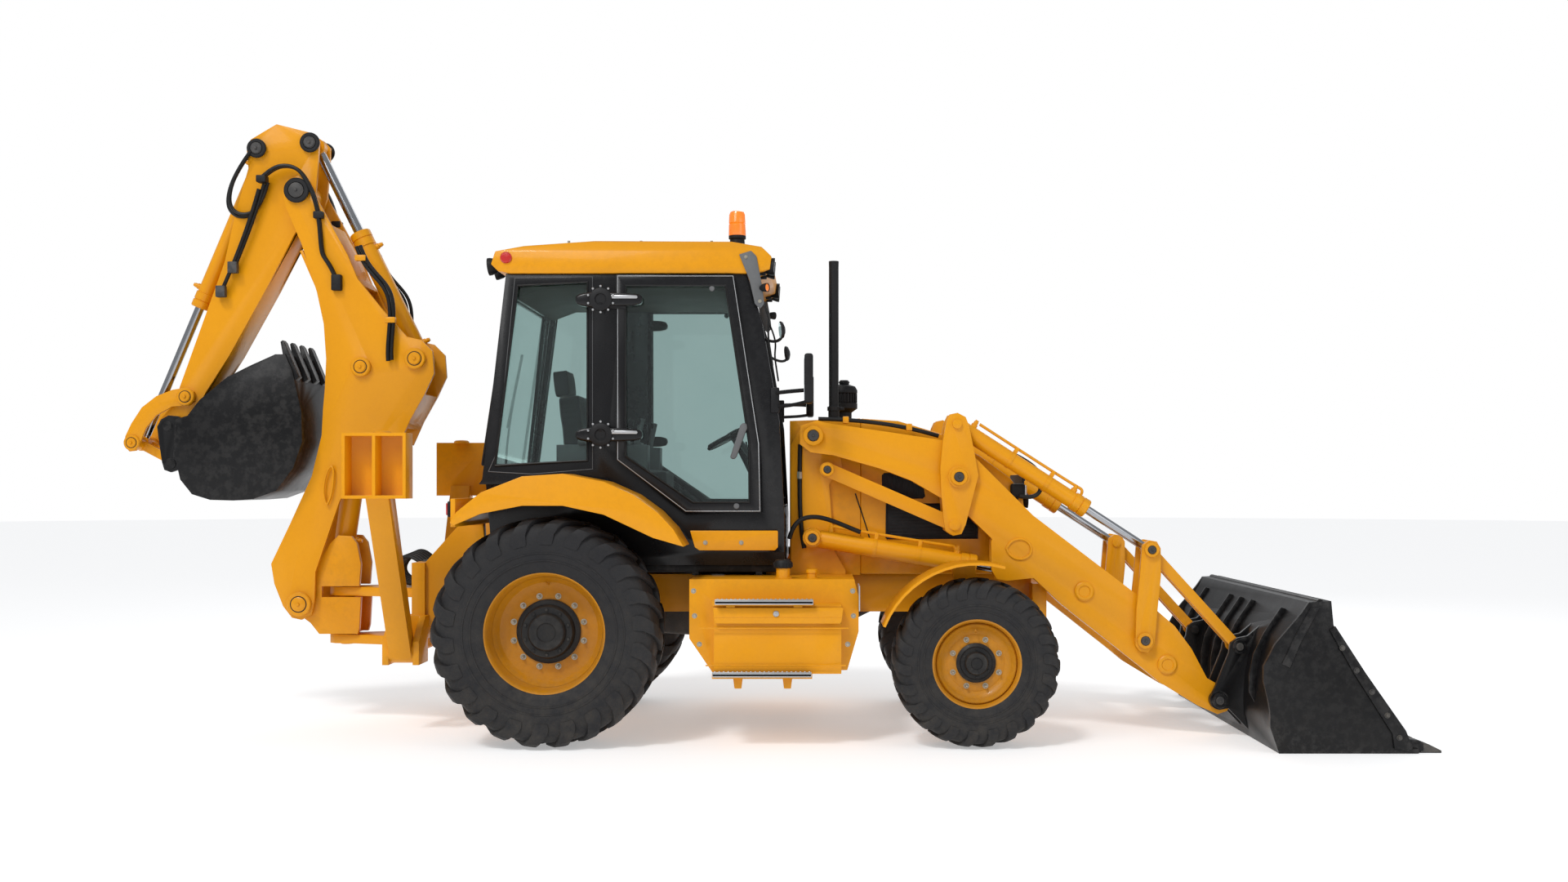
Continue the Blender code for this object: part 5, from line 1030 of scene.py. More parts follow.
def makeCabInside():
    pads = (cushion(*seat["cushion"], "seatPad", seat["crown"], (-0.45, 0.0, 0.45)),
            cushion(*seat["back"], "backPad", seat["crown"], (-0.5, -0.1, 0.3), -7, (-1.06, 0, 1.6)),
            cushion(*seat["head"], "headPad", seat["crown"] * 0.7, (), -7, (-1.06, 0, 1.6)))
    for pad, name, node in zip(pads, ("seatPad", "backPad", "headPad"), (["seat_cushions"], [], [])):
        ready(pad, name, "chassis", "seatCloth", node)
    frameParts = [block((-1.03, -0.20, 1.395), (-0.53, 0.20, 1.455), 0.014, 3)]
    for k in range(5):
        w = 0.175 - 0.012 * (k % 2)
        frameParts.append(block((-0.98 + 0.01 * (k % 2), -w, 1.10 + k * 0.058), (-0.58 - 0.01 * (k % 2), w, 1.158 + k * 0.058), 0.012, 3))
    frameParts.append(block((-1.04, -0.24, 1.062), (-0.53, 0.24, 1.105), 0.008))
    frameParts += [hose([(-1.09, s * 0.18, 1.50), (-1.13, s * 0.18, 1.75), (-1.15, s * 0.16, 1.98)], 0.014) for s in (-1, 1)]
    ready(joined(frameParts), "seatBase", "chassis", "mouldedBlack", ["operator_station"])
    pods = []
    for s in (-1, 1):
        pods.append(plate([(-1.15, 1.062), (-0.64, 1.062), (-0.60, 1.30), (-0.60, 1.66), (-0.64, 1.72), (-0.90, 1.74), (-1.15, 1.70)],
                          *side(s, 0.305, 0.445), bevel=0.022, segments=4))
        pods.append(block((-1.02, side(s, 0.28, 0.47)[0], 1.735), (-0.72, side(s, 0.28, 0.47)[1], 1.775), 0.016, 4))
    pods.append(plate([(0.045, 1.062), (0.180, 1.062), (0.180, 1.42), (0.150, 1.60), (0.060, 1.68), (0.010, 1.66), (0.035, 1.44)], -0.27, 0.27,
        bevel=0.020, segments=4))
    pods.append(block((-0.60, -0.40, 1.062), (0.045, 0.40, 1.076), 0.004))
    ready(joined(pods), "consoles", "chassis", "mouldedGrey")
    levers = []
    for s in (-1, 1):
        for k, x in enumerate((-0.70, -0.76, -0.82)):
            foot, tip = (x, s * 0.375, 1.71), (x + 0.05, s * 0.36, 1.90 - 0.02 * k)
            levers.append(turned(foot, tip, [(0, 0.030), (0.012, 0.030), (0.04, 0.014), (0.05, 0.007), (0.155, 0.007), (0.160, 0.018), (0.185,
                0.020), (0.198, 0.012)], 16))
    for s in (-0.16, 0.0, 0.16):
        levers.append(plate([(-0.10, 1.10), (-0.06, 1.09), (0.035, 1.24), (0.02, 1.26)], s - 0.035, s + 0.035, bevel=0.006))
    ready(joined(levers), "controlLevers", "chassis", "mouldedBlack")
    x, z = wheelGrip["middle"]
    lean = math.radians(wheelGrip["lean"])
    r, t = wheelGrip["radius"], wheelGrip["thick"]
    ring = [(t * math.cos(math.radians(a)), r + t * math.sin(math.radians(a))) for a in range(0, 360, 36)]
    grip = spun(ring, (0, 0), 48)
    spokes = []
    for a in (90, 210, 330):
        turn = math.radians(a)
        spokes.append(hose([(0.03 * math.cos(turn), 0.012, 0.03 * math.sin(turn)), (0.09 * math.cos(turn), 0.016, 0.09 * math.sin(turn)),
                            (r * math.cos(turn), 0.0, r * math.sin(turn))], 0.009))
    hub = spun([(-0.02, 0.0), (-0.02, 0.030), (0.014, 0.042), (0.026, 0.036), (0.026, 0.0)], (0, 0), 28)
    whole = joined([grip, hub] + spokes)
    way = Vector((math.sin(lean), 0, math.cos(lean)))
    whole.data.transform(Matrix.Translation((x, 0, z)) @ Vector((0, 1, 0)).rotation_difference(way).to_matrix().to_4x4())
    column = turned((0.070, 0, 1.500), (x, 0, z), [(0, 0.060), (0.06, 0.052), (0.10, 0.034), (0.30, 0.026), (0.345, 0.026)], 24)
    stalk = hose([(-0.03, 0.02, 1.70), (-0.02, 0.10, 1.74), (-0.03, 0.17, 1.77)], 0.006)
    ready(joined([whole, column, stalk]), "steeringWheel", "chassis", "mouldedBlack")
    lining = plate([(-1.38, 2.700), (-0.02, 2.700), (0.02, 2.620), (-0.02, 2.600), (-0.20, 2.660), (-1.20, 2.660), (-1.36, 2.600)], -0.64, 0.64,
        bevel=0.01)
    ready(lining, "roofLining", "chassis", "headLiner")
    print("cab inside made")


# engine end: hood, stack and pre-cleaner
stack = {"pipe": (0.531, -0.25), "radius": 0.030, "cleaner": (0.60, 0.02), "cleanerRadius": 0.084}
louvre = {"x": (0.850, 1.400), "z": (1.174, 1.380), "slats": 9}


def makeEngineEnd():
    x, y = stack["pipe"]
    r = stack["radius"]
    pipe = turned((x, y, 1.880), (x, y, 2.9), [(0, r + 0.020), (0.030, r + 0.020), (0.036, r + 0.004), (0.10, r + 0.004), (0.104, r), (0.96, r),
        (0.998, r + 0.001),
                                               (0.998, r - 0.006), (0.90, r - 0.006)], 32)
    clamp = turned((x, y, 1.955), (x, y, 2.9), [(0, r + 0.010), (0.024, r + 0.010)], 32)
    ear = block((x + r, y - 0.010, 1.957), (x + r + 0.034, y + 0.010, 1.977), 0.003)
    ready(joined([pipe, clamp, ear]), "exhaustPipe", "chassis", "mouldedBlack")
    x, y = stack["cleaner"]
    r = stack["cleanerRadius"]
    bowl = turned((x, y, 1.885), (x, y, 2.2), [(0, 0.048), (0.070, 0.048), (0.078, r * 0.7), (0.096, r), (0.128, r), (0.134, r * 0.90), (0.188,
        r * 0.90), (0.194, r),
                                               (0.212, r), (0.236, r * 0.84), (0.246, r * 0.5), (0.250, r * 0.36), (0.264, r * 0.42), (0.276,
                                                   r * 0.30)], 36)
    fins = []
    for k in range(24):
        a = 2 * math.pi * k / 24
        fin = block((r * 0.84, -0.0035, 0), (r * 0.985, 0.0035, 0.058), 0.001)
        fin.data.transform(Matrix.Translation((x, y, 2.017)) @ Matrix.Rotation(a, 4, "Z"))
        fins.append(fin)
    ready(joined([bowl] + fins), "preCleaner", "chassis", "mouldedBlack")
    for name, s in bothSides:
        x0, x1 = louvre["x"]
        z0, z1 = louvre["z"]
        w0, w1 = side(s, 0.414, 0.4225)
        back = block((x0, w0, z0), (x1, w1, z1), 0.004)
        slats = [back]
        step = (z1 - z0 - 0.03) / louvre["slats"]
        for k in range(louvre["slats"]):
            z = z0 + 0.015 + step * (k + 0.5)
            slat = block((x0 + 0.02, *side(s, 0.418, 0.4235)[:1], z - step * 0.30), (x1 - 0.02, side(s, 0.418, 0.4320)[1], z + step * 0.22), 0.0025)
            slats.append(slat)
        border = hose([(x0, s * 0.4225, z0), (x1, s * 0.4225, z0), (x1, s * 0.4225, z1), (x0, s * 0.4225, z1), (x0, s * 0.4225, z0)], 0.007, 2, False)
        ready(joined(slats + [border]), f"sideLouvre_{name}", "hood", "mouldedBlack")
        # black vent panel on the hood side, spread over the dark patch between the loader arm and the link: partly a
        # real vent, partly painted shade
        pane = plate([(0.822, 1.412), (1.070, 1.412), (1.085, 1.427), (1.062, 1.556), (1.046, 1.570), (0.836, 1.570), (0.820, 1.556)], *side(s,
            0.414, 0.4235),
                     bevel=0.006, segments=3)
        grid = [pane]
        for k in range(7):
            xx = 0.845 + 0.032 * k
            grid.append(block((xx, side(s, 0.42, 0.4262)[0], 1.425), (xx + 0.010, side(s, 0.42, 0.4262)[1], 1.558), 0.002))
        ready(joined(grid), f"ventAndShadePanel_{name}", "hood", "mouldedBlack")
        latch = [block((1.26, side(s, 0.416, 0.428)[0], 1.455), (1.335, side(s, 0.416, 0.428)[1], 1.485), 0.006, 3),
                 pinHead((1.297, 1.470), s * 0.424, s * 0.436, 0.011, 0.003, 16)]
        ready(joined(latch), f"hoodLatch_{name}", "hood", "mouldedBlack")
        seam = hose([(0.660, s * 0.4215, 1.445), (0.672, s * 0.4215, 1.40), (0.743, s * 0.4215, 1.207), (0.748, s * 0.4215, 1.16)], 0.004, 3)
        ready(seam, f"cowlSeam_{name}", "hood", "hoseRubber")
    # nose: grille, lamps and badge-free panel
    nose = [block((1.690, -0.30, 1.12), (1.703, 0.30, 1.56), 0.010, 3)]
    for k in range(11):
        z = 1.150 + 0.037 * k
        nose.append(block((1.695, -0.275, z), (1.712, 0.275, z + 0.014), 0.004))
    for s in (-1, 1):
        bowl, lens = lampPod((1.680, s * 0.355, 1.40), (1, 0, 0), 0.045, 0.035)
        nose.append(bowl)
        ready(lens, f"noseLamp_{'left' if s > 0 else 'right'}", "hood", "lampGlass")
    ready(joined(nose), "noseGrille", "hood", "mouldedBlack")
    for name, s in bothSides:
        foot = hose([(1.60, s * 0.40, 1.34), (1.63, s * 0.43, 1.37), (1.640, s * 0.43, 1.42)], 0.010)
        shell = block((1.600, side(s, 0.398, 0.456)[0], 1.415), (1.690, side(s, 0.398, 0.456)[1], 1.505), 0.018, 4)
        ready(joined([foot, shell]), f"frontLampShell_{name}", "hood", "mouldedBlack")
        ready(block((1.684, side(s, 0.405, 0.449)[0], 1.425), (1.697, side(s, 0.405, 0.449)[1], 1.495), 0.006, 3), f"frontLamp_{name}", "hood",
            "lampGlass")
    gearbox = [plate([(-0.90, 0.600), (-0.30, 0.560), (0.20, 0.560), (0.62, 0.640), (0.78, 0.720), (0.78, 1.050), (0.30, 1.010), (-0.34, 0.935),
        (-0.90, 0.900)],
                     -0.21, 0.21, bevel=0.020, segments=3)]
    for x, half, low, high in ((-0.30, 0.235, 0.545, 0.945), (0.22, 0.235, 0.545, 0.945), (0.62, 0.245, 0.620, 1.040)):
        gearbox.append(block((x - 0.016, -half, low), (x + 0.016, half, high), 0.006))
    for s in (-1, 1):
        for x in (-0.62, -0.05, 0.42):
            gearbox.append(block((x - 0.11, side(s, 0.205, 0.222)[0], 0.66), (x + 0.11, side(s, 0.205, 0.222)[1], 0.86), 0.008))
    ready(joined(gearbox), "gearbox", "chassis", "castIron")
    pan = [block((-1.28, -0.57, 0.975), (0.20, 0.57, 1.022), 0.008)]
    for x in (-1.10, -0.70, -0.30, 0.08):
        pan.append(block((x - 0.020, -0.57, 0.956), (x + 0.020, 0.57, 0.980), 0.006))
    ready(joined(pan), "floorPan", "chassis", "frameBlack")
    print("engine end made")


# side boxes: lid, treads and fillers
treads = {"upper": ((-0.146, 0.407), 0.842, (1.050, 1.150)), "lower": ((-0.160, 0.397), 0.435, (1.040, 1.150))}


def makeTread(s, values, name):
    (x0, x1), z, (y0, y1) = values
    parts = [block((x0, side(s, y0, y1)[0], z - 0.012), (x1, side(s, y0, y1)[1], z + 0.004), 0.003)]
    for k in range(22):
        x = x0 + 0.012 + (x1 - x0 - 0.024) * k / 21
        for y in (y0 + 0.018, (y0 + y1) / 2, y1 - 0.018):
            tooth = turned((x, s * y, z), (x, s * y, z + 0.02), [(0, 0.010), (0.011, 0.0065), (0.012, 0.0055)], 8)
            parts.append(tooth)
    lip = block((x0, side(s, y1 - 0.006, y1)[0], z - 0.016), (x1, side(s, y1 - 0.006, y1)[1], z + 0.014), 0.002)
    parts.append(lip)
    ready(joined(parts), name, "chassis", "zincSteel")


def makeSideBoxes():
    for name, s in bothSides:
        makeTread(s, treads["upper"], f"upperTread_{name}")
        makeTread(s, treads["lower"], f"lowerTread_{name}")
        brackets = [plate([(x - 0.030, 0.425), (x + 0.030, 0.425), (x + 0.020, 0.345), (x - 0.020, 0.345)], *side(s, 1.055, 1.066),
            bevel=0.004) for x in (-0.02, 0.26)]
        brackets += [plate([(x - 0.028, 0.828), (x + 0.028, 0.828), (x + 0.018, 0.770), (x - 0.018, 0.770)], *side(s, 1.094, 1.103),
            bevel=0.003) for x in (-0.06, 0.32)]
        ready(joined(brackets), f"treadBrackets_{name}", "chassis", "machineYellow")
        lid = plate([(-0.158, 0.806), (0.572, 0.806), (0.576, 0.800), (0.566, 0.728), (0.556, 0.716), (-0.142, 0.716), (-0.152, 0.728)], *side(s,
            1.098, 1.110),
                    bevel=0.005, segments=3)
        fold = hose([(-0.150, s * 1.1085, 0.752), (0.562, s * 1.1085, 0.752)], 0.0035, 2, False)
        ready(joined([lid, fold]), f"boxLid_{name}", "chassis", "machineYellow")
        lock = [pinHead((0.197, 0.772), s * 1.108, s * 1.120, 0.017, 0.003, 24), block((0.192, side(s, 1.118, 1.1245)[0], 0.762), (0.202, side(s,
            1.118, 1.1245)[1], 0.782), 0.002)]
        ready(joined(lock), f"boxLock_{name}", "chassis", "zincSteel")
        heads = [(-0.268, 0.90), (-0.262, 0.76), (0.628, 0.90), (0.632, 0.76), (-0.235, 0.60), (0.600, 0.60)]
        ready(bolts([(x, s * 1.0985, z) for x, z in heads], (0, s, 0), 0.011), f"boxBolts_{name}", "chassis", "boltZinc")
        straps = [block((0.664, side(s, 0.80, 0.86)[0], 0.78), (0.672, side(s, 0.80, 0.86)[1], 0.925), 0.002),
                  block((0.664, side(s, 0.98, 1.04)[0], 0.78), (0.672, side(s, 0.98, 1.04)[1], 0.925), 0.002)]
        ready(joined(straps), f"boxStraps_{name}", "chassis", "zincSteel")
        neck = turned((0.232, s * 0.90, 0.950), (0.232, s * 0.90, 1.2), [(0, 0.052), (0.012, 0.052), (0.016, 0.040), (0.070, 0.040)], 28)
        neck2 = turned((0.397, s * 0.88, 0.950), (0.397, s * 0.88, 1.2), [(0, 0.038), (0.008, 0.038), (0.012, 0.028), (0.036, 0.028), (0.040,
            0.034), (0.058, 0.034),
                                                                          (0.062, 0.026)], 24)
        ready(joined([neck, neck2]), f"fillerNeck_{name}", "chassis", "machineYellow")
        cap = turned((0.232, s * 0.90, 1.018), (0.232, s * 0.90, 1.2), [(0, 0.046), (0.004, 0.052), (0.034, 0.052), (0.046, 0.044), (0.050,
            0.030)], 32)
        ribs = [cap]
        for k in range(12):
            a = 2 * math.pi * k / 12
            rib = block((0.048, -0.006, 0), (0.056, 0.006, 0.026), 0.002)
            rib.data.transform(Matrix.Translation((0.232, s * 0.90, 1.024)) @ Matrix.Rotation(a, 4, "Z"))
            ribs.append(rib)
        ready(joined(ribs), f"fillerCap_{name}", "chassis", "mouldedBlack")
        # battery tray cover seam and lower fold of the tank
        ready(joined([hose([(-0.235, s * 1.1005, 0.690), (0.605, s * 1.1005, 0.690)], 0.004, 2, False),
                      hose([(-0.200, s * 1.1005, 0.480), (0.590, s * 1.1005, 0.480)], 0.004, 2, False)]), f"boxFolds_{name}", "chassis",
                          "machineYellow")
    print("side boxes made")


# loader: bosses, pins, hoses and bucket fittings
def pinEnd(at, s, y, size, body, name, ring="machineYellow", dark="castIron"):
    # boss round a hinge with its pin head
    boss = spun([(s * (y - 0.004), size * 0.98), (s * (y + 0.008), size), (s * (y + 0.012), size * 0.94), (s * (y + 0.012), size * 0.60),
        (s * (y - 0.004), size * 0.58)], at, 36)
    ready(boss, f"{name}Boss", body, ring)
    head = spun([(s * (y - 0.002), 0.0), (s * (y - 0.002), size * 0.55), (s * (y + 0.015), size * 0.55), (s * (y + 0.020), size * 0.46),
        (s * (y + 0.020), size * 0.14),
                 (s * (y + 0.026), size * 0.10), (s * (y + 0.026), 0.0)], at, 32)
    ready(head, f"{name}Pin", body, dark)


armBosses = [("tubeRear", (2.020, 0.862), 0.590, 0.058), ("tubeFront", (2.515, 0.426), 0.590, 0.058)]


def makeLoaderFittings():
    for name, s in bothSides:
        for key, at, y, r in armBosses:
            disc = spun([(s * y, 0.0), (s * y, r), (s * (y + 0.010), r), (s * (y + 0.016), r - 0.008), (s * (y + 0.016), r * 0.62),
                (s * (y + 0.010), r * 0.55),
                         (s * (y + 0.010), 0.0)], at, 40)
            ready(disc, f"{key}_{name}", "loader_arms", "machineYellow")
        pinEnd(pins["pTower"], s, 0.612, 0.060, "loader_arms", f"armFoot_{name}")
        pinEnd(pins["kKnee"], s, 0.648, 0.052, "knee_levers", f"kneeHub_{name}")
        pinEnd(pins["jKnee"], s, 0.600, 0.040, "level_links", f"linkFront_{name}")
        pinEnd(pins["lTower"], s, 0.590, 0.040, "level_links", f"linkRear_{name}")
        pinEnd(pins["gKnee"], s, 0.598, 0.048, "tilt_barrels", f"tiltHub_{name}")
        pinEnd(pins["bLever"], s, 0.642, 0.044, "tilt_levers", f"tiltEnd_{name}")
        pinEnd(pins["aLever"], s, 0.642, 0.048, "tilt_levers", f"leverFoot_{name}")
        pinEnd(pins["mTower"], s, 0.600, 0.046, "lift_barrels", f"liftFoot_{name}")
        rim = hose([(1.556, s * 0.5915, 1.115), (1.575, s * 0.5915, 1.160), (1.634, s * 0.5915, 1.182), (1.690, s * 0.5915, 1.160), (1.712,
            s * 0.5915, 1.110),
                    (1.690, s * 0.5915, 1.065), (1.634, s * 0.5915, 1.046), (1.575, s * 0.5915, 1.068), (1.556, s * 0.5915, 1.115)], 0.0085, 3)
        ready(rim, f"gussetRim_{name}", "loader_arms", "machineYellow")
        y = s * 0.46
        hoses = [[(0.326, y, 1.742), (0.322, y, 1.60), (0.322, y, 1.40), (0.330, y, 1.22), (0.350, y, 1.114)],
                 [(0.263, s * 0.60, 1.176), (0.285, s * 0.615, 1.27), (0.371, s * 0.62, 1.319), (0.50, s * 0.615, 1.295), (0.60, s * 0.60, 1.25),
                     (0.685, s * 0.58, 1.215)]]
        ready(joined([hose(h, 0.014) for h in hoses]), f"towerHoses_{name}", "chassis", "hoseRubber")
        fitting = [turned((0.322, y, 1.534), (0.322, y, 1.6), [(0, 0.017), (0.040, 0.017), (0.044, 0.014)], 6)]
        ready(joined(fitting), f"hoseFitting_{name}", "chassis", "boltZinc")
        top = [(0.435, s * 0.52, 1.893), (0.60, s * 0.52, 1.890), (0.85, s * 0.52, 1.868), (1.05, s * 0.52, 1.822), (1.158, s * 0.52, 1.790)]
        armHose = [hose(top, 0.013), hose([(p[0], p[1] - s * 0.034, p[2] + 0.003) for p in top], 0.011)]
        ready(joined(armHose), f"armHoses_{name}", "loader_arms", "hoseRubber")
        clips = [block((x - 0.018, side(s, 0.465, 0.545)[0], z - 0.020), (x + 0.018, side(s, 0.465, 0.545)[1], z + 0.022), 0.005) for x,
            z in ((0.60, 1.885), (0.98, 1.842))]
        ready(joined(clips), f"hoseClips_{name}", "loader_arms", "machineYellow")
        loop = [(1.518, s * 0.50, 1.697), (1.60, s * 0.50, 1.690), (1.675, s * 0.50, 1.648), (1.745, s * 0.505, 1.600), (1.779, s * 0.51, 1.539),
            (1.775, s * 0.51, 1.470),
                (1.754, s * 0.505, 1.432), (1.700, s * 0.50, 1.418), (1.646, s * 0.50, 1.429)]
        ready(hose(loop, 0.013), f"tiltHose_{name}", "tilt_barrels", "hoseRubber")
    print("loader fittings made")


# backhoe: bosses, hoses, clamps and bucket fittings
hoseBundle = [(-3.028, 3.407), (-2.960, 3.470), (-2.889, 3.489), (-2.815, 3.472), (-2.767, 3.426), (-2.705, 3.310), (-2.673, 3.175), (-2.664, 3.06),
              (-2.657, 2.960), (-2.645, 2.92), (-2.625, 2.894), (-2.590, 2.84), (-2.559, 2.762)]
hoseLoop = [(-3.128, 3.572), (-3.215, 3.450), (-3.268, 3.307), (-3.255, 3.215), (-3.202, 3.175), (-3.140, 3.175), (-3.087, 3.208), (-3.045, 3.285),
    (-3.021, 3.374)]
boomHose = [(-2.433, 2.977), (-2.405, 2.900), (-2.359, 2.828), (-2.280, 2.750), (-2.227, 2.663), (-2.222, 2.50), (-2.244, 2.332), (-2.237, 2.266)]
digTeeth = 4


def bossPair(at, y, r, body, hinge, dark=False):
    for name, s in bothSides:
        x, z = at
        disc = spun([(s * (y - 0.004), r), (s * (y + 0.006), r), (s * (y + 0.011), r - 0.006), (s * (y + 0.011), r * 0.66), (s * (y + 0.004),
            r * 0.62), (s * (y - 0.004), r * 0.60)], at, 36)
        ready(disc, f"{hinge}Ring_{name}", body, "mouldedBlack" if dark else "machineYellow")
        head = spun([(s * (y - 0.006), 0.0), (s * (y - 0.006), r * 0.60), (s * (y + 0.013), r * 0.60), (s * (y + 0.018), r * 0.50),
            (s * (y + 0.018), 0.0)], at, 32)
        parts = [head]
        parts.append(bolt((x, s * (y + 0.016), z), (0, s, 0), 0.010, False))
        ready(joined(parts), f"{hinge}Head_{name}", body, "castIron" if dark else "machineYellow")
        if not dark:
            ring = spun([(s * (y + 0.002), r * 0.62), (s * (y + 0.002), r * 0.68), (s * (y + 0.0125), r * 0.68), (s * (y + 0.0125), r * 0.61)], at,
                36)
            ready(ring, f"{hinge}Seal_{name}", body, "hoseRubber")


def makeBackhoeFittings():
    bossPair(pins["qDipper"], 0.195, 0.078, "boom", "dipperHinge", True)
    bossPair(pins["tBoom"], 0.195, 0.062, "boom", "boomCylinderTop")
    bossPair(pins["boomFoot"], 0.195, 0.076, "boom", "boomHinge")
    bossPair(pins["dBoom"], 0.195, 0.066, "boom", "dipperCylinderFoot")
    bossPair(pins["hDipper"], 0.149, 0.062, "dipper", "dipperCylinderTop", True)
    bossPair(pins["uDipper"], 0.149, 0.060, "dipper", "bucketCylinderFoot", True)
    bossPair(pins["vLever"], 0.156, 0.056, "bucket_lever", "leverHinge")
    bossPair(pins["wLever"], 0.156, 0.050, "bucket_lever", "leverTip")
    for y in (-0.155, -0.178, 0.155, 0.178):
        s = 1 if y > 0 else -1
        bundle = hose([(x, y + s * 0.020, z) for x, z in hoseBundle], 0.012)
        ready(bundle, f"stickHose_{int(y * 1000)}".replace("-", "r"), "dipper", "hoseRubber")
    for name, s in bothSides:
        clamps = []
        for x, z in ((-3.028, 3.400), (-2.673, 3.175)):
            clamps.append(block((x - 0.030, side(s, 0.146, 0.214)[0], z - 0.022), (x + 0.030, side(s, 0.146, 0.214)[1], z + 0.022), 0.006))
        clamps.append(block((-2.592, side(s, 0.146, 0.212)[0], 2.705), (-2.530, side(s, 0.146, 0.212)[1], 2.805), 0.008))
        ready(joined(clamps), f"hoseClamps_{name}", "dipper", "mouldedBlack")
        pair = [hose([(x, s * 0.128, z) for x, z in hoseLoop], 0.013), hose([(x + 0.020, s * 0.158, z + 0.010) for x, z in hoseLoop], 0.011)]
        ready(joined(pair), f"loopHose_{name}", "dipper", "hoseRubber")
        run = [(-3.021, s * 0.165, 3.374), (-3.070, s * 0.165, 3.20), (-3.140, s * 0.160, 3.02), (-3.200, s * 0.158, 2.88)]
        run2 = [(-3.050, s * 0.178, 3.34), (-3.110, s * 0.178, 3.12), (-3.190, s * 0.170, 2.92), (-3.282, s * 0.162, 2.72)]
        ready(joined([hose(run, 0.012), hose(run2, 0.012)]), f"stickRun_{name}", "dipper", "hoseRubber")
        blocks = [block((x - 0.030, side(s, 0.140, 0.182)[0], z - 0.036), (x + 0.030, side(s, 0.140, 0.182)[1], z + 0.036), 0.006) for x,
            z in ((-3.217, 2.853), (-3.292, 2.703))]
        ready(joined(blocks), f"stickBlocks_{name}", "dipper", "castIron")
        ready(joined([hose([(x, s * 0.204, z) for x, z in boomHose], 0.013), hose([(x + 0.026, s * 0.214, z + 0.006) for x, z in boomHose], 0.011)]),
              f"boomHose_{name}", "boom", "hoseRubber")
        hooks = [block((x - 0.034, side(s, 0.190, 0.230)[0], z - 0.018), (x + 0.034, side(s, 0.190, 0.230)[1], z + 0.018), 0.005) for x,
            z in ((-2.405, 2.905), (-2.222, 2.52))]
        ready(joined(hooks), f"boomClamps_{name}", "boom", "machineYellow")
        raised = [(-2.655, 1.372), (-2.626, 1.420), (-2.610, 1.560), (-2.618, 1.616), (-2.640, 1.610), (-2.670, 1.550), (-2.684, 1.420), (-2.655,
            1.372)]
        raised = hose([(x + 0.035, s * 0.1955, z) for x, z in raised], 0.0065, 3)
        ready(raised, f"footLoop_{name}", "boom", "machineYellow")
        # stabilizer legs: cylinder caps
        cap = turned((-2.055, s * 0.98, 1.785), (-2.055, s * 0.98, 1.9), [(0, 0.052), (0.012, 0.052), (0.020, 0.040), (0.022, 0.014)], 32)
        ready(cap, f"legCap_{name}", f"stabilizer_{name}", "machineYellow")
    hoses = []
    for k, y in enumerate((-0.12, -0.07, -0.02, 0.03, 0.08, 0.13)):
        hoses.append(hose([(-2.02, y * 1.3, 0.99), (-2.10, y * 1.2, 1.06 + 0.008 * k), (-2.18, y, 1.05), (-2.235, y, 0.97), (-2.20, y, 0.90),
            (-2.12, y, 0.87), (-2.04, y, 0.88)],
                          0.013))
    ready(joined(hoses), "swingHoses", "chassis", "hoseRubber")
    ready(block((-2.03, -0.20, 0.90), (-1.95, 0.20, 1.03), 0.012, 3), "valveBlock", "chassis", "castIron")
    print("backhoe fittings made")


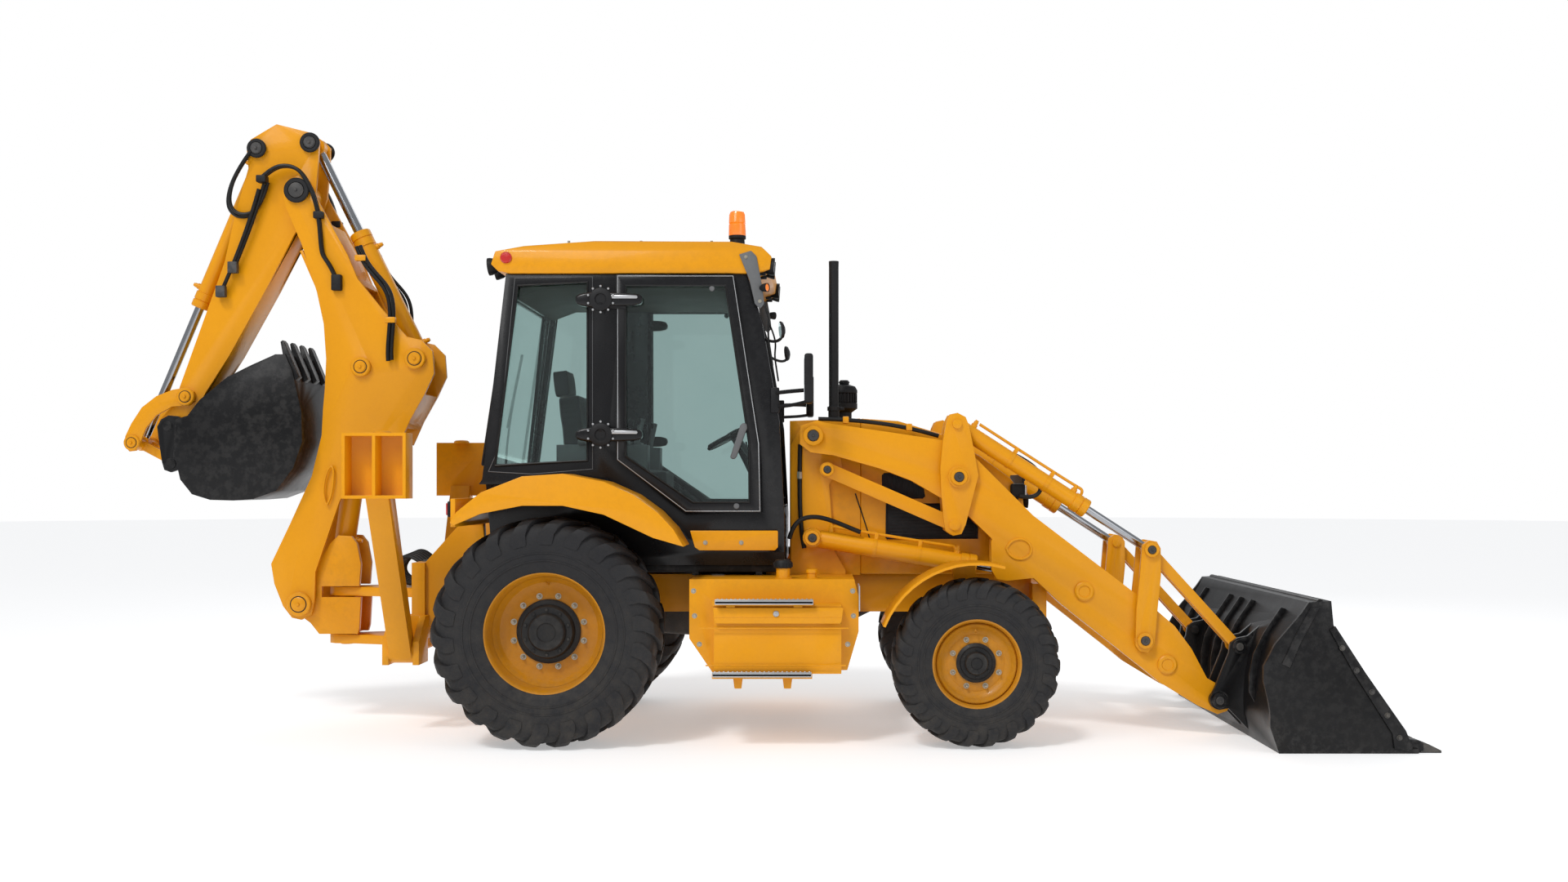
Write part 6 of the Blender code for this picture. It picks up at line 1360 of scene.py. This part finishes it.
def makeBucketFittings():
    w = 1.19
    # front bucket: side edge plates with bolts, cutting edge bolts, back ribs and spill bar
    for name, s in bothSides:
        edge = plate([(3.735, 0.010), (3.742, 0.036), (3.706, 0.128), (3.480, 0.452), (3.312, 0.712), (3.298, 0.700), (3.280, 0.690), (3.420,
            0.440), (3.630, 0.110),
                      (3.640, 0.030)], *side(s, w - 0.004, w + 0.012), bevel=0.004)
        ready(edge, f"sideCutter_{name}", "loader_bucket", "bucketBlack")
        places = [(3.430, s * (w + 0.011), 0.465), (3.515, s * (w + 0.011), 0.345), (3.600, s * (w + 0.011), 0.215), (3.668, s * (w + 0.011),
            0.090), (3.350, s * (w + 0.011), 0.590)]
        ready(bolts(places, (0, s, 0), 0.012), f"cutterBolts_{name}", "loader_bucket", "castIron")
        gusset = plate([(3.015, 0.500), (3.080, 0.640), (3.150, 0.770), (3.175, 0.815), (3.225, 0.815), (3.120, 0.620), (3.060, 0.480)], *side(s,
            w - 0.002, w + 0.009), bevel=0.003)
        ready(gusset, f"backGusset_{name}", "loader_bucket", "bucketBlack")
        ears = []
        for y in (0.448, 0.612):
            ears.append(spun([(s * (y - 0.020), 0.0), (s * (y - 0.020), 0.056), (s * (y + 0.020), 0.056), (s * (y + 0.020), 0.0)], pins["eBucket"],
                32))
        ready(joined(ears), f"earBosses_{name}", "loader_bucket", "bucketBlack")
        pinEnd(pins["eBucket"], s, 0.642, 0.046, "loader_bucket", f"lowerPin_{name}", "bucketBlack")
        pinEnd(pins["cBucket"], s, 0.642, 0.042, "loader_bucket", f"upperPin_{name}", "bucketBlack")
    ribs = [hose([(3.235, -w + 0.02, 0.842), (3.235, w - 0.02, 0.842)], 0.018, 3, False)]
    for y in (-0.86, -0.25, 0.0, 0.25, 0.86):
        ribs.append(plate([(2.958, 0.240), (2.925, 0.300), (2.925, 0.400), (2.950, 0.520), (3.010, 0.640), (3.110, 0.790), (3.140, 0.780), (3.040,
            0.630), (2.990, 0.487),
                           (2.972, 0.360)], y - 0.008, y + 0.008, bevel=0.003))
    ready(joined(ribs), "bucketRibs", "loader_bucket", "bucketBlack")
    adapters, tips, heads = [], [], []
    for k in range(8):
        y = -w + 0.06 + k * (2 * w - 0.12) / 7
        adapters.append(plate([(3.560, 0.026), (3.650, 0.060), (3.700, 0.080), (3.790, 0.070), (3.815, 0.055), (3.815, 0.010), (3.700, 0.024)],
            y - 0.042, y + 0.042, bevel=0.006))
        heads.append((3.640, y, 0.058))
        tips.append(plate([(3.800, 0.066), (3.850, 0.046), (3.9165, 0.013), (3.9165, 0.004), (3.800, 0.002)], y - 0.037, y + 0.037, bevel=0.005))
    ready(joined(adapters), "toothAdapters", "loader_bucket", "bucketBlack")
    ready(joined(tips), "toothTips", "loader_bucket", "castIron")
    ready(bolts(heads, (0, 0, 1), 0.013), "adapterBolts", "loader_bucket", "boltZinc")
    print("bucket fittings made")


def makeFloor():
    deselect()
    bpy.ops.mesh.primitive_circle_add(vertices=96, radius=60, fill_type="NGON")
    floor = bpy.context.object
    bpy.ops.object.mode_set(mode="EDIT")
    bpy.ops.mesh.select_all(action="SELECT")
    bpy.ops.mesh.inset(thickness=30, depth=0)
    bpy.ops.object.mode_set(mode="OBJECT")
    floor.location.z = -0.001
    settle(floor)
    floor.name = "floor"
    paper = bpy.data.materials.new("paleFloor")
    paper.use_nodes = True
    shader = paper.node_tree.nodes["Principled BSDF"]
    shader.inputs["Base Color"].default_value = (*light["floorColor"], 1)
    shader.inputs["Roughness"].default_value = 0.8
    shader.inputs["Emission Color"].default_value = (1, 1, 1, 1)
    shader.inputs["Emission Strength"].default_value = light["floorGlow"]
    floor.data.materials.append(paper)


def main():
    setUpStage()
    buildMaterials()
    makeFloor()
    makeWheels()
    makeCylinders()
    makeSteelwork()
    makeCabOutside()
    makeCabInside()
    makeEngineEnd()
    makeSideBoxes()
    makeLoaderFittings()
    makeBackhoeFittings()
    makeBucketFittings()


main()
